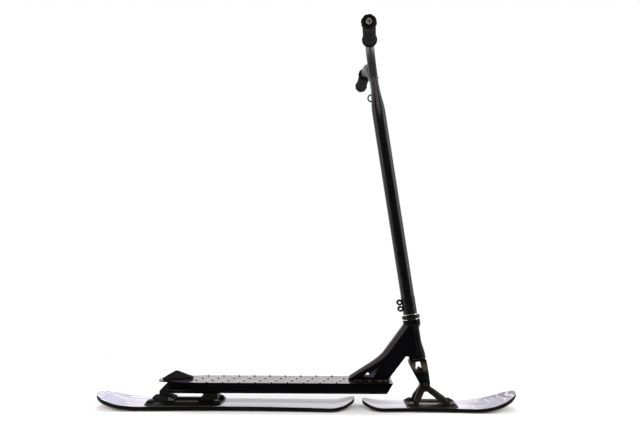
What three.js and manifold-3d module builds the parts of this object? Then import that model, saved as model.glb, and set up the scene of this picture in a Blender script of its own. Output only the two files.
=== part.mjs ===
// Snow scooter: a studded deck on two short skis, steered by a tall bar on a raked axis.
// Millimetres, +X forward, +Y to the rider's left, +Z up. The origin is on the snow, in the
// middle of the length and the width.

import * as THREE from 'three';
import { mergeVertices } from 'three/addons/utils/BufferGeometryUtils.js';
import Module from 'manifold-3d';

const wasm = await Module();
wasm.setup();

// Clearances and counts that all pieces share
const seatGap = 0.3;          // between two pieces that touch on the real object
const overrun = 5;            // how far a cutter runs past what it cuts
const roundSides = 20;        // sides of a large round
const smallSides = 8;         // sides of a bolt or a pin
const bossSides = 12;          // sides of a boss or a cap
const hexSides = 6;

// Steering axis: it leans back and meets the snow ahead of the fork's axle
const axisGroundX = 310.3;
const rake = THREE.MathUtils.degToRad(8.87);

// Skis
const ski = {
  edgeHeight: 2,              // steel edge, square to the base
  edgeWidth: 2.2,
  baseThickness: 1.4,
  topsheetThickness: 0.9,
  wallLean: 2.4,              // the side wall leans in by this much
  topsheetInset: 0.8,
  leastHalfWidth: 1.2,        // half width of the body where a tip ends
  edgeShare: 0.82,            // the edges end where the ski is narrower than this share of its waist
};
const rearSki = {
  tailX: -546,
  noseX: 127,
  waistX: -150,
  waistHalf: 54.6,
  tailHalf: 68,
  noseHalf: 62.5,
  tailRound: 84,              // length of the rounded tail
  noseRound: 70,
  tailRise: 32,               // how far the tail's underside turns up
  tailRiseLength: 135,
  noseRise: 20,
  noseRiseLength: 62,
  midThickness: 12.4,
  tipThickness: 8,
};
const frontSki = {
  tailX: 147.5,
  noseX: 546,
  waistX: 262,
  waistHalf: 54,
  tailHalf: 57,
  noseHalf: 66,
  tailRound: 58,
  noseRound: 82,
  tailRise: 15.5,
  tailRiseLength: 55,
  noseRise: 36,
  noseRiseLength: 130,
  midThickness: 10.8,
  tipThickness: 8,
};

// Plates that are screwed to the skis: two rails with a round boss at each end
const plate = {
  railInner: 22,              // half width of the open window between the rails
  railCrest: 31,              // where the rail is highest
  skirt: 1.6,                 // thickness of the plate at its outer edge
  crestEaseShare: 3,          // run from the crest to the slope, in skirts
  webThickness: 2.4,          // of the webs that join the rails at the ends
  bossRadius: 10,
  bossHalfGauge: 33,          // half the distance across between screws
  bossRound: 3,
  cornerCut: 9,
};
const rearPlate = {
  startX: -409,
  endX: -217,
  startHalf: 61,              // half width at each end, out to the ski's edge
  endHalf: 54.4,
  screwInset: 11,             // from the end of the plate to the screw
  railHeight: 6.2,
  bossHeight: 10.3,
  startWeb: 24,
  endWeb: 62,
};
const frontPlate = {
  startX: 259,
  endX: 388,
  startHalf: 53.6,
  endHalf: 57.5,
  screwInset: 13.5,
  railHeight: 3.6,
  bossHeight: 7,
  startWeb: 26,
  endWeb: 26,
};
const plateScrew = {
  headRadius: 5.2,
  headHeight: 2.4,
  chamfer: 1,
  socketRadius: 2.4,
  shankRadius: 3,
  grip: 7,
};

// Deck: an extruded box with a top plate that runs on behind it as a thin lip
const deck = {
  topZ: 72.6,
  height: 27.6,
  width: 114,
  tailX: -382,
  noseX: 224,
  noseSlant: 16.5,             // the front end is cut back by this much at the bottom
  boxTailX: -353,
  wall: 3,
  topWall: 3.6,
  ribs: 2,
  bottomChamfer: 5,
  taperX: -268,               // the plan starts to narrow here
  tailHalf: 31,
  tailCorner: 16,
  cornerShare: 0.3,           // where the corner bends, as a share of its size
  flankRunShare: 0.62,        // the bend in the flank, as shares of its run and its width
  flankWidthShare: 0.78,
};
const stud = {
  radius: 3.4,
  height: 2.6,
  lean: 1.2,
  sides: 5,
  pitch: 41.3,
  innerY: 17,
  outerY: 47.5,
  firstX: -249.5,
};
const studRows = [
  { y: -stud.outerY, startShare: 0, count: 9 },
  { y: -stud.innerY, startShare: 0.78, count: 10 },
  { y: stud.innerY, startShare: 0.55, count: 10 },
  { y: stud.outerY, startShare: 0.32, count: 9 },
];

// Foot stop on the tail
const footStop = {
  tailX: -368,
  noseX: -295.5,
  crestX: -341.5,
  crestRun: 7.5,
  crestHalf: 6,
  height: 21,
  heelRise: 6,
  toeRise: 5,
  tailHalf: 33,
  shoulderX: -352,
  noseHalf: 17,
  tailShare: 0.85,            // width of the tail's edge, as a share of the width at the shoulder
};
const footScrew = {
  x: -359,
  halfGauge: 10,
  headRadius: 4.2,
  headHeight: 2.4,
  shankRadius: 2.2,
  grip: 11,
};

// Neck: the arm from the deck up to the head tube
const neck = {
  width: 42,
  chamfer: 9,
  toeX: 111,
  toeRise: 6,
  bendX: 181,
  bendZ: 125.5,
  topX: 255,
  topZ: 211,
  frontTopX: 259,
  frontTopZ: 139,
  frontFootX: 211.5,
  frontDrop: 3,               // of the front's upper end below that height
  curveSteps: 10,
  toeReachShare: 0.45,        // handles of the curve from the toe to the bend
  toeSlopeShare: 0.67,
  toeChamferShare: 0.25,      // the chamfer starts at this share of its width
  pocketDepth: 12,            // recess in each flank
  pocketBackX: 150,
  pocketFrontX: 177,
  pocketPeakX: 191,
  pocketFootZ: 81.5,
  pocketPeakZ: 111,
  openingBackX: 153,          // small opening through the heel of the recess
  openingFrontX: 165,
  openingPeakX: 161.5,
  openingFootZ: 82.5,
  openingPeakZ: 89,
};

// Head tube and headset, measured along the steering axis from the snow
const headTube = {
  bottom: 135.6,
  top: 231.8,
  topRadius: 22.3,
  bottomRadius: 21.8,
  waistRadius: 16.9,
  collar: 11,                 // length of the straight collar at the top
  foot: 5,
  waistBottom: 172,
  waistTop: 206,
  bore: 15.4,
  waistSteps: 3,
};
const bearing = { radius: 20.2, bore: 15, height: 7, chamfer: 0.8 };
const headset = {
  ringRadius: 22,
  ringHeight: 2.6,
  coverRadius: 23.35,
  coverHeight: 9,
  coverRound: 3,
  coverCrest: 18.6,
  spacerRadius: 19.6,
  spacerHeight: 2.6,
  raceHeight: 4,
  raceRadius: 21,
};

// Fork, in the steering frame: u runs forward from the axis, s runs up it
const fork = {
  crownTop: 128.6,
  width: 44,
  gap: 29,                    // between the legs
  crownDepth: 4.4,
  crownBack: -25,
  crownFront: 18.6,
  kneeBack: -19.6,
  kneeBackS: 107,
  kneeFront: 21.6,
  kneeFrontS: 101,
  axleU: 8.4,
  axleS: 66.4,
  endRadius: 12.6,
  endFromDegrees: 190,        // the round of the legs' ends
  endToDegrees: 352,
};
const forkWindow = {
  bottom: 93,
  back: -7.4,
  front: 3.4,
  slant: 4.6,
};
const steerer = { radius: 14.3, wall: 2.4, top: 302 };

// Bolts through the fork
const axleBolt = {
  radius: 4,
  headRadius: 6.6,
  headHeight: 5,
  nutRadius: 7,
  nutHeight: 5.5,
  socket: 2.6,
};
const lockBolt = {
  u: 0.8,
  s: 101.5,
  radius: 3,
  headRadius: 5,
  headHeight: 3.4,
  nutRadius: 5.2,
  nutHeight: 3.6,
};

// Front adaptor: an upright between the fork legs on four splayed legs
const adaptor = {
  topRadius: 8,
  apexZ: 57,
  splayZ: 52.5,               // below this height the legs lean outwards
  apexBackX: 296,
  apexFrontX: 322,
  archX: 311,
  archZ: 46,
  archHalf: 8,
  archFromDegrees: 165,
  archToDegrees: 40,
  backFootX: 275,
  backFootRun: 13,
  frontFootX: 354,
  frontFootRun: 19,
  footInner: 25,
  footOuter: 41,
  crotchZ: 49,
  crotchHalf: 6,
  soleHeight: 3.2,
  legLean: 3,                 // the legs' flanks lean in by this much above the foot
  outerRise: 8,
  innerRise: 6,
  backRise: 6,                // small steps where the upright meets the legs
  backStep: 1,
  kneeRun: 9,
  kneeDrop: 7,
  frontStep: 2,
  frontRise: 8,
};

// Rear adaptor: a bracket under the deck with a front foot on the rails and a heel on a block
const bracket = {
  plateThickness: 3,
  half: 40,
  heelHalf: 12,               // the heel is a narrow arm behind the plate
  heelTopX: -358.6,
  heelTopZ: 66,
  heelBackX: -380.8,
  heelBackZ: 43.2,
  heelSoleZ: 31.8,
  heelFrontX: -352,
  heelChamfer: 5,
  footBackX: -264,
  footToeX: -279,
  footFrontX: -227,
  footChamfer: 6,
  footHalf: 21.2,
  counterboreZ: 36,           // roof of the counterbore for the front bolt
};
const block = {
  backX: -390,
  frontX: -341,
  topBackX: -385,
  topFrontX: -350.5,
  half: 26,
  topHalf: 12,
  footRise: 2.6,              // upright foot of the ends
  flankRise: 5.6,             // upright foot of the flanks
};
const blockBolt = {
  x: -346,
  z: 22.3,
  radius: 2.4,
  headRadius: 9.2,
  headWidth: 4,
  chamfer: 1.4,
  socket: 3.5,
  nutRadius: 4.2,
  nutWidth: 4,
};
const bracketBolt = {
  xs: [-300, -240],
  headRadius: 6,
  headHeight: 4,
  shankRadius: 3,
  overhang: 3,                // of the shank beyond its nut strip
  nutMargin: 9,               // from the bolt to the strip's edge
};

// Bar: a down tube that is pinched to an oval head, and two bent wings
const bar = {
  radius: 17.45,
  wall: 1.6,
  bottomGap: 0.4,
  yokeTop: 864,
  yokeLength: 88,             // the pinched part below the top
  yokeFlat: 18,               // the last of it, where the depth no longer changes
  yokeHalfDepth: 11.1,
  yokeHalfWidth: 27,
  slotWidth: 3,
  slotHeight: 52,
};
const yokeStart = bar.yokeTop - bar.yokeLength;
const wing = {
  radius: 11.1,
  wall: 2,
  startY: 11.4,
  riseAngle: THREE.MathUtils.degToRad(45),
  bendRadius: 85,
  rise: 55,                   // height of the level part above the down tube's top
  levelRun: 51.4,             // level tube between the bend and the grip
  sweep: THREE.MathUtils.degToRad(3.2),
  bendSteps: 6,
};
const grip = {
  length: 131,
  bodyRadius: 14.9,
  flangeRadius: 18.2,
  flangeWidth: 3.4,
  flangeBlend: 1,
  collarWidth: 13,
  collarRadius: 16.8,
  collarCrown: 1,
  collarBlend: 2,
  lip: 1,
  scallops: 8,
  scallopRadius: 3.4,
  scallopDepth: 1,
};
const endPlug = {
  headRadius: 13,
  headWidth: 3,
  chamfer: 1,
  stemLength: 18,
  recess: 1.2,
  recessRadius: 8.6,
};
const shimLength = 46;
const clamp = {
  height: 44,
  wall: 1.9,
  slit: 4,
  bossRadius: 7.6,
  bossReach: 23.6,
  bossLow: 16.6,
  bossHigh: 33.4,
  bossHalf: 8.6,
  bossNeck: 10.6,
};
const clampBolt = {
  radius: 2.6,
  headRadius: 4.2,
  headHeight: 3,
  socket: 2,
};
const starNut = { radius: 11.4, thickness: 1.2, depth: 24, coreRadius: 5 };
const topBolt = {
  radius: 3,
  headRadius: 6,
  headHeight: 5,
  length: 34,
  capRadius: 14.6,
  capHeight: 3.4,
  socket: 2.6,
};
const loop = {
  wireRadius: 1.5,
  reach: 9.4,
  half: 12,
  drop: 44.5,                 // from the tube's top down to the middle of the loop
  sides: 6,
  steps: 12,
  bowShare: 0.8,
};

// Materials, by the look of the real piece
function paint(color, roughness, metalness) {
  return new THREE.MeshStandardMaterial({ color, roughness, metalness });
}

const materials = {
  blackPaint: paint(0x17140f, 0.42, 0.2),
  blackAnodised: paint(0x1b181a, 0.4, 0.55),
  deckPaint: paint(0x0d0c0d, 0.35, 0.3),
  rubber: paint(0x1e1c1b, 0.85, 0),
  rubberGreen: paint(0x20251f, 0.7, 0),
  nylon: paint(0x121211, 0.5, 0),
  steel: paint(0xb9b7b2, 0.3, 1),
  chrome: paint(0xd6d4cf, 0.18, 1),
  skiTop: paint(0xd9d6e2, 0.25, 0),
  skiCore: paint(0x121212, 0.45, 0),
  skiBase: paint(0xd5d0c8, 0.35, 0),
};

// Solids and booleans
function solidOf(geometry) {
  const bare = geometry.clone();
  bare.deleteAttribute('normal');
  bare.deleteAttribute('uv');
  const merged = mergeVertices(bare, 1e-4);
  return new wasm.Manifold(new wasm.Mesh({
    numProp: 3,
    vertProperties: new Float32Array(merged.attributes.position.array),
    triVerts: new Uint32Array(merged.index.array),
  }));
}

function geometryOf(solid) {
  const mesh = solid.getMesh();
  const geometry = new THREE.BufferGeometry();
  const places = new Float32Array(mesh.numVert * 3);
  for (let i = 0; i < mesh.numVert; i += 1) {
    for (let k = 0; k < 3; k += 1) {
      places[i * 3 + k] = mesh.vertProperties[i * mesh.numProp + k];
    }
  }
  geometry.setAttribute('position', new THREE.BufferAttribute(places, 3));
  geometry.setIndex(new THREE.BufferAttribute(new Uint32Array(mesh.triVerts), 1));
  geometry.computeVertexNormals();
  return geometry;
}

const moved = (geometry, x, y, z) => geometry.clone().translate(x, y, z);
const joined = (...geometries) => geometries.map(solidOf).reduce((sum, next) => sum.add(next));
const cutFrom = (solid, ...geometries) => geometries.map(solidOf)
  .reduce((left, tool) => left.subtract(tool), solid);

// A closed skin through rings of equal point counts, with flat ends
function loft(rings) {
  const count = rings[0].length;
  const places = rings.flat().flatMap((p) => [p.x, p.y, p.z]);
  const faces = [];
  for (let r = 0; r < rings.length - 1; r += 1) {
    for (let i = 0; i < count; i += 1) {
      const a = r * count + i;
      const b = r * count + ((i + 1) % count);
      faces.push(a, b, b + count, a, b + count, a + count);
    }
  }
  const capOf = (ring, first, flip) => {
    const origin = ring[0];
    const normal = new THREE.Vector3();
    for (let i = 1; i < count - 1; i += 1) {
      const one = ring[i].clone().sub(origin);
      const two = ring[i + 1].clone().sub(origin);
      normal.add(one.cross(two));
    }
    normal.normalize();
    const across = ring[1].clone().sub(origin).normalize();
    const up = normal.clone().cross(across);
    const flat = ring.map((p) => {
      const q = p.clone().sub(origin);
      return new THREE.Vector2(q.dot(across), q.dot(up));
    });
    for (const [a, b, c] of THREE.ShapeUtils.triangulateShape(flat, [])) {
      faces.push(...(flip ? [first + a, first + c, first + b] : [first + a, first + b, first + c]));
    }
  };
  capOf(rings[0], 0, true);
  capOf(rings[rings.length - 1], (rings.length - 1) * count, false);
  const geometry = new THREE.BufferGeometry();
  geometry.setAttribute('position', new THREE.Float32BufferAttribute(places, 3));
  geometry.setIndex(faces);
  return geometry;
}

// A side outline of (x, z) points, given a width across Y and centred on the middle plane
function acrossY(points, width) {
  const shape = new THREE.Shape(points.map(([x, z]) => new THREE.Vector2(x, z)));
  const geometry = new THREE.ExtrudeGeometry(shape, { depth: width, bevelEnabled: false });
  return geometry.translate(0, 0, -width / 2).rotateX(Math.PI / 2);
}

// A front outline of (y, z) points, run along X from one place to another
function alongX(points, startX, endX) {
  const shape = new THREE.Shape(points.map(([y, z]) => new THREE.Vector2(y, z)));
  const geometry = new THREE.ExtrudeGeometry(shape, { depth: endX - startX, bevelEnabled: false });
  return geometry.rotateX(Math.PI / 2).rotateZ(Math.PI / 2).translate(startX, 0, 0);
}

// A plan outline of (x, y) points, run up from one height to another
function upward(points, startZ, endZ) {
  const shape = new THREE.Shape(points.map(([x, y]) => new THREE.Vector2(x, y)));
  const geometry = new THREE.ExtrudeGeometry(shape, { depth: endZ - startZ, bevelEnabled: false });
  return geometry.translate(0, 0, startZ);
}

// A turned piece about Z from (radius, height) points that close on themselves
function turned(points, sides = roundSides) {
  const ring = [...points, points[0]].map(([r, z]) => new THREE.Vector2(r, z));
  return new THREE.LatheGeometry(ring, sides).rotateX(Math.PI / 2);
}

// A solid turned piece about Z, whose outline starts and ends on the axis
function turnedSolid(points, sides = roundSides) {
  const line = points.map(([r, z]) => new THREE.Vector2(r, z));
  return new THREE.LatheGeometry(line, sides).rotateX(Math.PI / 2);
}

const rod = (radius, startZ, endZ, sides = roundSides) => turnedSolid(
  [[0, startZ], [radius, startZ], [radius, endZ], [0, endZ]], sides);
const rodAcross = (radius, startY, endY, x, z, sides = smallSides) => rod(radius, startY, endY, sides)
  .rotateX(-Math.PI / 2).translate(x, 0, z);
const arc = (x, z, radius, from, to, steps) => Array.from({ length: steps + 1 }, (_, i) => {
  const angle = THREE.MathUtils.degToRad(from + (to - from) * (i / steps));
  return [x + radius * Math.cos(angle), z + radius * Math.sin(angle)];
});
const mirrored = (points) => [...points, ...points.map(([a, b]) => [-a, b]).reverse()];
const bothSides = (points) => [...points, ...points.map(([a, b]) => [a, -b]).reverse()];
const lerp = THREE.MathUtils.lerp;

// Scene graph: the frame stands in the part's own axes, the steering group on its raked axis
const scooter = new THREE.Group();
const steering = new THREE.Group();
steering.position.set(axisGroundX, 0, 0);
steering.rotation.y = -rake;
scooter.add(steering);

function add(group, name, geometry, material) {
  const mesh = new THREE.Mesh(geometry, material);
  mesh.name = name;
  group.add(mesh);
  return mesh;
}

const addSolid = (group, name, solid, material) => add(group, name, geometryOf(solid), material);

// A geometry that is drawn in the part's axes, carried into the steering frame
const intoSteering = (geometry) => geometry.clone().translate(-axisGroundX, 0, 0).rotateY(rake);

// Skis: base, two steel edges, body with leaning side walls, and topsheet
const superEllipse = 2 / 2.3;

function skiStations(form) {
  const stations = [];
  const tipSteps = 8;
  const middleSteps = 9;
  const tipAngle = THREE.MathUtils.degToRad(87);
  const tip = (length, half, sign, endX, i) => {
    const angle = (tipAngle * i) / tipSteps;
    const run = (Math.sin(angle) / Math.sin(tipAngle)) ** superEllipse;
    const width = Math.max(half * Math.cos(angle) ** superEllipse, ski.leastHalfWidth);
    return { x: endX - sign * length * (1 - run), half: width };
  };
  for (let i = tipSteps; i > 0; i -= 1) {
    stations.push(tip(form.tailRound, form.tailHalf, -1, form.tailX, i));
  }
  const tailShoulder = form.tailX + form.tailRound;
  const noseShoulder = form.noseX - form.noseRound;
  for (let i = 0; i <= middleSteps; i += 1) {
    const x = lerp(tailShoulder, noseShoulder, i / middleSteps);
    const behind = x < form.waistX;
    const share = (x - form.waistX) / ((behind ? tailShoulder : noseShoulder) - form.waistX);
    stations.push({ x, half: lerp(form.waistHalf, behind ? form.tailHalf : form.noseHalf, share * share) });
  }
  for (let i = 1; i <= tipSteps; i += 1) {
    stations.push(tip(form.noseRound, form.noseHalf, 1, form.noseX, i));
  }
  return stations;
}

function skiUnderside(form, x) {
  const tail = Math.max(0, (form.tailX + form.tailRiseLength - x) / form.tailRiseLength);
  const nose = Math.max(0, (x - form.noseX + form.noseRiseLength) / form.noseRiseLength);
  return form.tailRise * tail * tail + form.noseRise * nose * nose;
}

function skiTopside(form, x) {
  const end = x < form.mountX ? form.tailX : form.noseX;
  const share = (x - form.mountX) / (end - form.mountX);
  return skiUnderside(form, x) + lerp(form.midThickness, form.tipThickness, share * share);
}

function skiLayer(form, stations, sectionAt) {
  return loft(stations.map((station) => {
    const section = sectionAt(station, skiUnderside(form, station.x), skiTopside(form, station.x));
    return section.map(([y, z]) => new THREE.Vector3(station.x, y, z));
  }));
}

function makeSki(group, prefix, form, screws, carry) {
  const stations = skiStations(form);
  const underBody = ski.edgeHeight + seatGap;
  const besideEdge = ski.edgeWidth + seatGap;
  const lean = (half) => Math.min(ski.wallLean, half / 3);
  const screwFoot = form.midThickness - plateScrew.grip - seatGap;
  const holes = screws.map(([x, y]) => moved(
    rod(plateScrew.shankRadius + seatGap, screwFoot, form.midThickness + overrun, smallSides), x, y, 0));
  const drilled = (geometry) => geometryOf(cutFrom(solidOf(geometry), ...holes));
  const body = drilled(skiLayer(form, stations, ({ half }, low, high) => {
    const top = high - ski.topsheetThickness - seatGap;
    const inner = half - lean(half);
    return [[-half, low + underBody], [half, low + underBody], [inner, top], [-inner, top]];
  }));
  const topsheet = drilled(skiLayer(form, stations, ({ half }, low, high) => {
    const wide = half - lean(half) - Math.min(ski.topsheetInset, half / 4);
    const bottom = high - ski.topsheetThickness;
    return [[-wide, bottom], [wide, bottom], [wide, high], [-wide, high]];
  }));
  const wideStations = stations.filter(({ half }) => half > 3 * besideEdge);
  const base = skiLayer(form, wideStations, ({ half }, low) => {
    const wide = half - besideEdge;
    const roof = low + underBody - seatGap;
    return [[-wide, low], [wide, low], [wide, roof], [-wide, roof]];
  });
  const edgeStations = stations.filter(({ half }) => half > form.waistHalf * ski.edgeShare);
  for (const [side, word] of [[1, 'left'], [-1, 'right']]) {
    const edge = skiLayer(form, edgeStations, ({ half }, low) => {
      const inner = half - ski.edgeWidth;
      const roof = low + ski.edgeHeight;
      const points = [[inner, low], [half, low], [half, roof], [inner, roof]];
      return side > 0 ? points : points.map(([y, z]) => [-y, z]).reverse();
    });
    add(group, `${prefix}_edge_${word}`, carry(edge), materials.steel);
  }
  add(group, `${prefix}_base`, carry(base), materials.skiBase);
  add(group, `${prefix}_body`, carry(body), materials.skiCore);
  add(group, `${prefix}_topsheet`, carry(topsheet), materials.skiTop);
}

// Mount plates: two sloping rails, webs across their ends, and a boss under each screw
const plateFloor = (form) => form.midThickness + seatGap;

function plateScrews(form) {
  const places = [];
  for (const x of [form.startX + form.screwInset, form.endX - form.screwInset]) {
    for (const y of [-plate.bossHalfGauge, plate.bossHalfGauge]) {
      places.push([x, y]);
    }
  }
  return places;
}

// The room that the bosses and their screws take, for what stands beside them
function bossRoom(form, skiForm) {
  const room = rod(plate.bossRadius + seatGap, 0, plateFloor(skiForm) + form.bossHeight + 2 * overrun);
  return plateScrews(form).map(([x, y]) => moved(room, x, y, 0));
}

function makePlate(group, prefix, form, skiForm, carry, extraHoles) {
  const floor = plateFloor(skiForm);
  const crest = floor + form.railHeight;
  const railOuter = Math.max(form.startHalf, form.endHalf);
  const rail = [
    [plate.railInner, floor],
    [railOuter, floor],
    [railOuter, floor + plate.skirt],
    [plate.railCrest + plate.skirt * plate.crestEaseShare, crest],
    [plate.railInner + plate.skirt, crest],
    [plate.railInner, crest - plate.skirt],
  ];
  const webTop = floor + plate.webThickness;
  const web = mirrored([[plate.railInner, floor], [plate.railInner, webTop]]);
  const parts = [
    alongX(rail, form.startX, form.endX),
    alongX(rail.map(([y, z]) => [-y, z]).reverse(), form.startX, form.endX),
    alongX(web, form.startX, form.startX + form.startWeb),
    alongX(web, form.endX - form.endWeb, form.endX),
  ];
  const corner = plate.cornerCut;
  const outline = [
    [form.startX, form.startHalf - corner],
    [form.startX + corner, form.startHalf],
    [form.endX - corner, form.endHalf],
    [form.endX, form.endHalf - corner],
  ];
  const plan = upward(bothSides(outline), floor - overrun, crest + overrun);
  const bossTop = floor + form.bossHeight;
  const boss = turnedSolid([
    [0, floor],
    [plate.bossRadius, floor],
    ...arc(plate.bossRadius - plate.bossRound, bossTop - plate.bossRound, plate.bossRound, 0, 90, 2),
    [0, bossTop],
  ], bossSides);
  const screws = plateScrews(form);
  let solid = joined(...parts).intersect(solidOf(plan));
  for (const [x, y] of screws) {
    solid = solid.add(solidOf(moved(boss, x, y, 0)));
    const bore = rod(plateScrew.shankRadius + seatGap, floor - overrun, bossTop + overrun, smallSides);
    solid = cutFrom(solid, moved(bore, x, y, 0));
  }
  solid = cutFrom(solid, ...extraHoles);
  add(group, `${prefix}_mount_plate`, carry(geometryOf(solid)), materials.nylon);
  screws.forEach(([x, y], i) => {
    const headFloor = bossTop + seatGap;
    const shankFoot = skiForm.midThickness - plateScrew.grip;
    const screw = turnedSolid([
      [0, shankFoot],
      [plateScrew.shankRadius, shankFoot],
      [plateScrew.shankRadius, headFloor],
      [plateScrew.headRadius, headFloor],
      [plateScrew.headRadius, headFloor + plateScrew.headHeight - plateScrew.chamfer],
      [plateScrew.headRadius - plateScrew.chamfer, headFloor + plateScrew.headHeight],
      [plateScrew.socketRadius, headFloor + plateScrew.headHeight],
      [plateScrew.socketRadius, headFloor + plateScrew.headHeight / 4],
      [0, headFloor + plateScrew.headHeight / 4],
    ], smallSides);
    add(group, `${prefix}_ski_screw_${i + 1}`, carry(moved(screw, x, y, 0)), materials.chrome);
  });
}

// Deck: box section with ribs inside, cut to its side and plan outlines, with its studs
const deckBottom = deck.topZ - deck.height;

function makeDeck() {
  const half = deck.width / 2;
  const chamfer = deck.bottomChamfer;
  const section = [
    [-half, deck.topZ],
    [-half, deckBottom + chamfer],
    [-half + chamfer, deckBottom],
    [half - chamfer, deckBottom],
    [half, deckBottom + chamfer],
    [half, deck.topZ],
  ];
  const chambers = deck.ribs + 1;
  const chamberWidth = (deck.width - deck.wall * (chambers + 1)) / chambers;
  const roof = deck.topZ - deck.topWall;
  const floor = deckBottom + deck.wall;
  const hollows = Array.from({ length: chambers }, (_, i) => {
    const startY = -half + deck.wall + i * (chamberWidth + deck.wall);
    const endY = startY + chamberWidth;
    const startCut = i === 0 ? chamfer : 0;
    const endCut = i === chambers - 1 ? chamfer : 0;
    const corners = [
      [startY, roof],
      [startY, floor + startCut],
      [startY + startCut, floor],
      [endY - endCut, floor],
      [endY, floor + endCut],
      [endY, roof],
    ];
    return alongX(corners, deck.tailX - overrun, deck.noseX + overrun);
  });
  const box = cutFrom(solidOf(alongX(section, deck.tailX, deck.noseX)), ...hollows);
  const side = acrossY([
    [deck.tailX - overrun, deck.topZ],
    [deck.tailX - overrun, deck.topZ - deck.topWall],
    [deck.boxTailX, deck.topZ - deck.topWall],
    [deck.boxTailX, deckBottom],
    [deck.noseX - deck.noseSlant, deckBottom],
    [deck.noseX, deck.topZ],
  ], deck.width + overrun);
  const corner = deck.tailCorner;
  const outline = [
    [deck.tailX, deck.tailHalf - corner],
    [deck.tailX + corner * deck.cornerShare, deck.tailHalf - corner * deck.cornerShare],
    [deck.tailX + corner, deck.tailHalf],
    [lerp(deck.tailX, deck.taperX, deck.flankRunShare), lerp(deck.tailHalf, half, deck.flankWidthShare)],
    [deck.taperX, half],
    [deck.taperX + overrun, half + overrun],
    [deck.noseX + overrun, half + overrun],
  ];
  const plan = upward(bothSides(outline), deckBottom - overrun, deck.topZ + overrun);
  let solid = box.intersect(solidOf(side)).intersect(solidOf(plan));
  const pin = turnedSolid([
    [0, -deck.topWall / 2],
    [stud.radius, -deck.topWall / 2],
    [stud.radius - stud.lean, stud.height],
    [0, stud.height],
  ], stud.sides);
  for (const row of studRows) {
    for (let i = 0; i < row.count; i += 1) {
      const x = stud.firstX + stud.pitch * (i - row.startShare);
      solid = solid.add(solidOf(moved(pin, x, row.y, deck.topZ)));
    }
  }
  const boltHole = rod(bracketBolt.shankRadius + seatGap, deckBottom - overrun, floor + overrun, smallSides);
  const boltHoles = bracketBolt.xs.map((x) => moved(boltHole, x, 0, 0));
  const footHole = rod(footScrew.shankRadius + seatGap, roof - overrun, deck.topZ + overrun, smallSides);
  const footHoles = [-1, 1].map((sign) => moved(footHole, footScrew.x, sign * footScrew.halfGauge, 0));
  solid = cutFrom(solid, ...boltHoles, ...footHoles);
  addSolid(scooter, 'deck', solid, materials.deckPaint);
}

// Foot stop: a wedge with a short ridge, its flanks falling away to an arrowhead's outline
function makeFootStop() {
  const floor = deck.topZ + seatGap;
  const side = acrossY([
    [footStop.tailX, floor],
    [footStop.noseX, floor],
    [footStop.noseX, floor + footStop.toeRise],
    [footStop.crestX + footStop.crestRun, floor + footStop.height],
    [footStop.crestX, floor + footStop.height],
    [footStop.tailX, floor + footStop.heelRise],
  ], deck.width);
  const outline = [
    [footStop.tailX, footStop.tailHalf * footStop.tailShare],
    [footStop.shoulderX, footStop.tailHalf],
    [footStop.noseX, footStop.noseHalf],
  ];
  const plan = upward(bothSides(outline), floor - overrun, floor + footStop.height + overrun);
  const roof = alongX(mirrored([
    [footStop.tailHalf, floor - overrun],
    [footStop.tailHalf, floor + footStop.toeRise],
    [footStop.crestHalf, floor + footStop.height],
  ]), footStop.tailX - overrun, footStop.noseX + overrun);
  const screwTop = floor + footScrew.grip - deck.topWall;
  const holes = [-1, 1].map((sign) => moved(
    rod(footScrew.shankRadius + seatGap, floor - overrun, screwTop + seatGap, smallSides),
    footScrew.x, sign * footScrew.halfGauge, 0));
  const wedge = solidOf(side).intersect(solidOf(plan)).intersect(solidOf(roof));
  addSolid(scooter, 'foot_stop', cutFrom(wedge, ...holes), materials.rubber);
  const under = deck.topZ - deck.topWall - seatGap;
  [1, -1].forEach((sign) => {
    const screw = turnedSolid([
      [0, under - footScrew.headHeight],
      [footScrew.headRadius, under - footScrew.headHeight],
      [footScrew.headRadius, under],
      [footScrew.shankRadius, under],
      [footScrew.shankRadius, screwTop],
      [0, screwTop],
    ], smallSides);
    add(scooter, `foot_stop_screw_${sign > 0 ? 'left' : 'right'}`,
      moved(screw, footScrew.x, sign * footScrew.halfGauge, 0), materials.steel);
  });
}

// Head tube: a waisted tube with a bearing seat at each end
function headTubeRadius(s) {
  const { waistBottom, waistTop, waistRadius, topRadius, bottomRadius } = headTube;
  if (s >= waistTop) {
    const share = Math.min(1, (s - waistTop) / (headTube.top - headTube.collar - waistTop));
    return lerp(waistRadius, topRadius, share * share * (3 - 2 * share));
  }
  if (s <= waistBottom) {
    const share = Math.min(1, (waistBottom - s) / (waistBottom - headTube.bottom - headTube.foot));
    return lerp(waistRadius, bottomRadius, share);
  }
  return waistRadius;
}

function headTubeOutline(grow) {
  const stations = [headTube.bottom, headTube.bottom + headTube.foot];
  for (let i = 1; i <= headTube.waistSteps; i += 1) {
    stations.push(lerp(headTube.bottom + headTube.foot, headTube.waistBottom, i / headTube.waistSteps));
  }
  for (let i = 0; i <= headTube.waistSteps; i += 1) {
    stations.push(lerp(headTube.waistTop, headTube.top - headTube.collar, i / headTube.waistSteps));
  }
  stations.push(headTube.top);
  return stations.map((s) => [headTubeRadius(s) + grow, s]);
}

const onAxis = (geometry) => geometry.clone().rotateY(-rake).translate(axisGroundX, 0, 0);
const lowerSeat = headTube.bottom + bearing.height - 0.5 * bearing.chamfer;
const upperSeat = headTube.top - bearing.height + 0.5 * bearing.chamfer;

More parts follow.
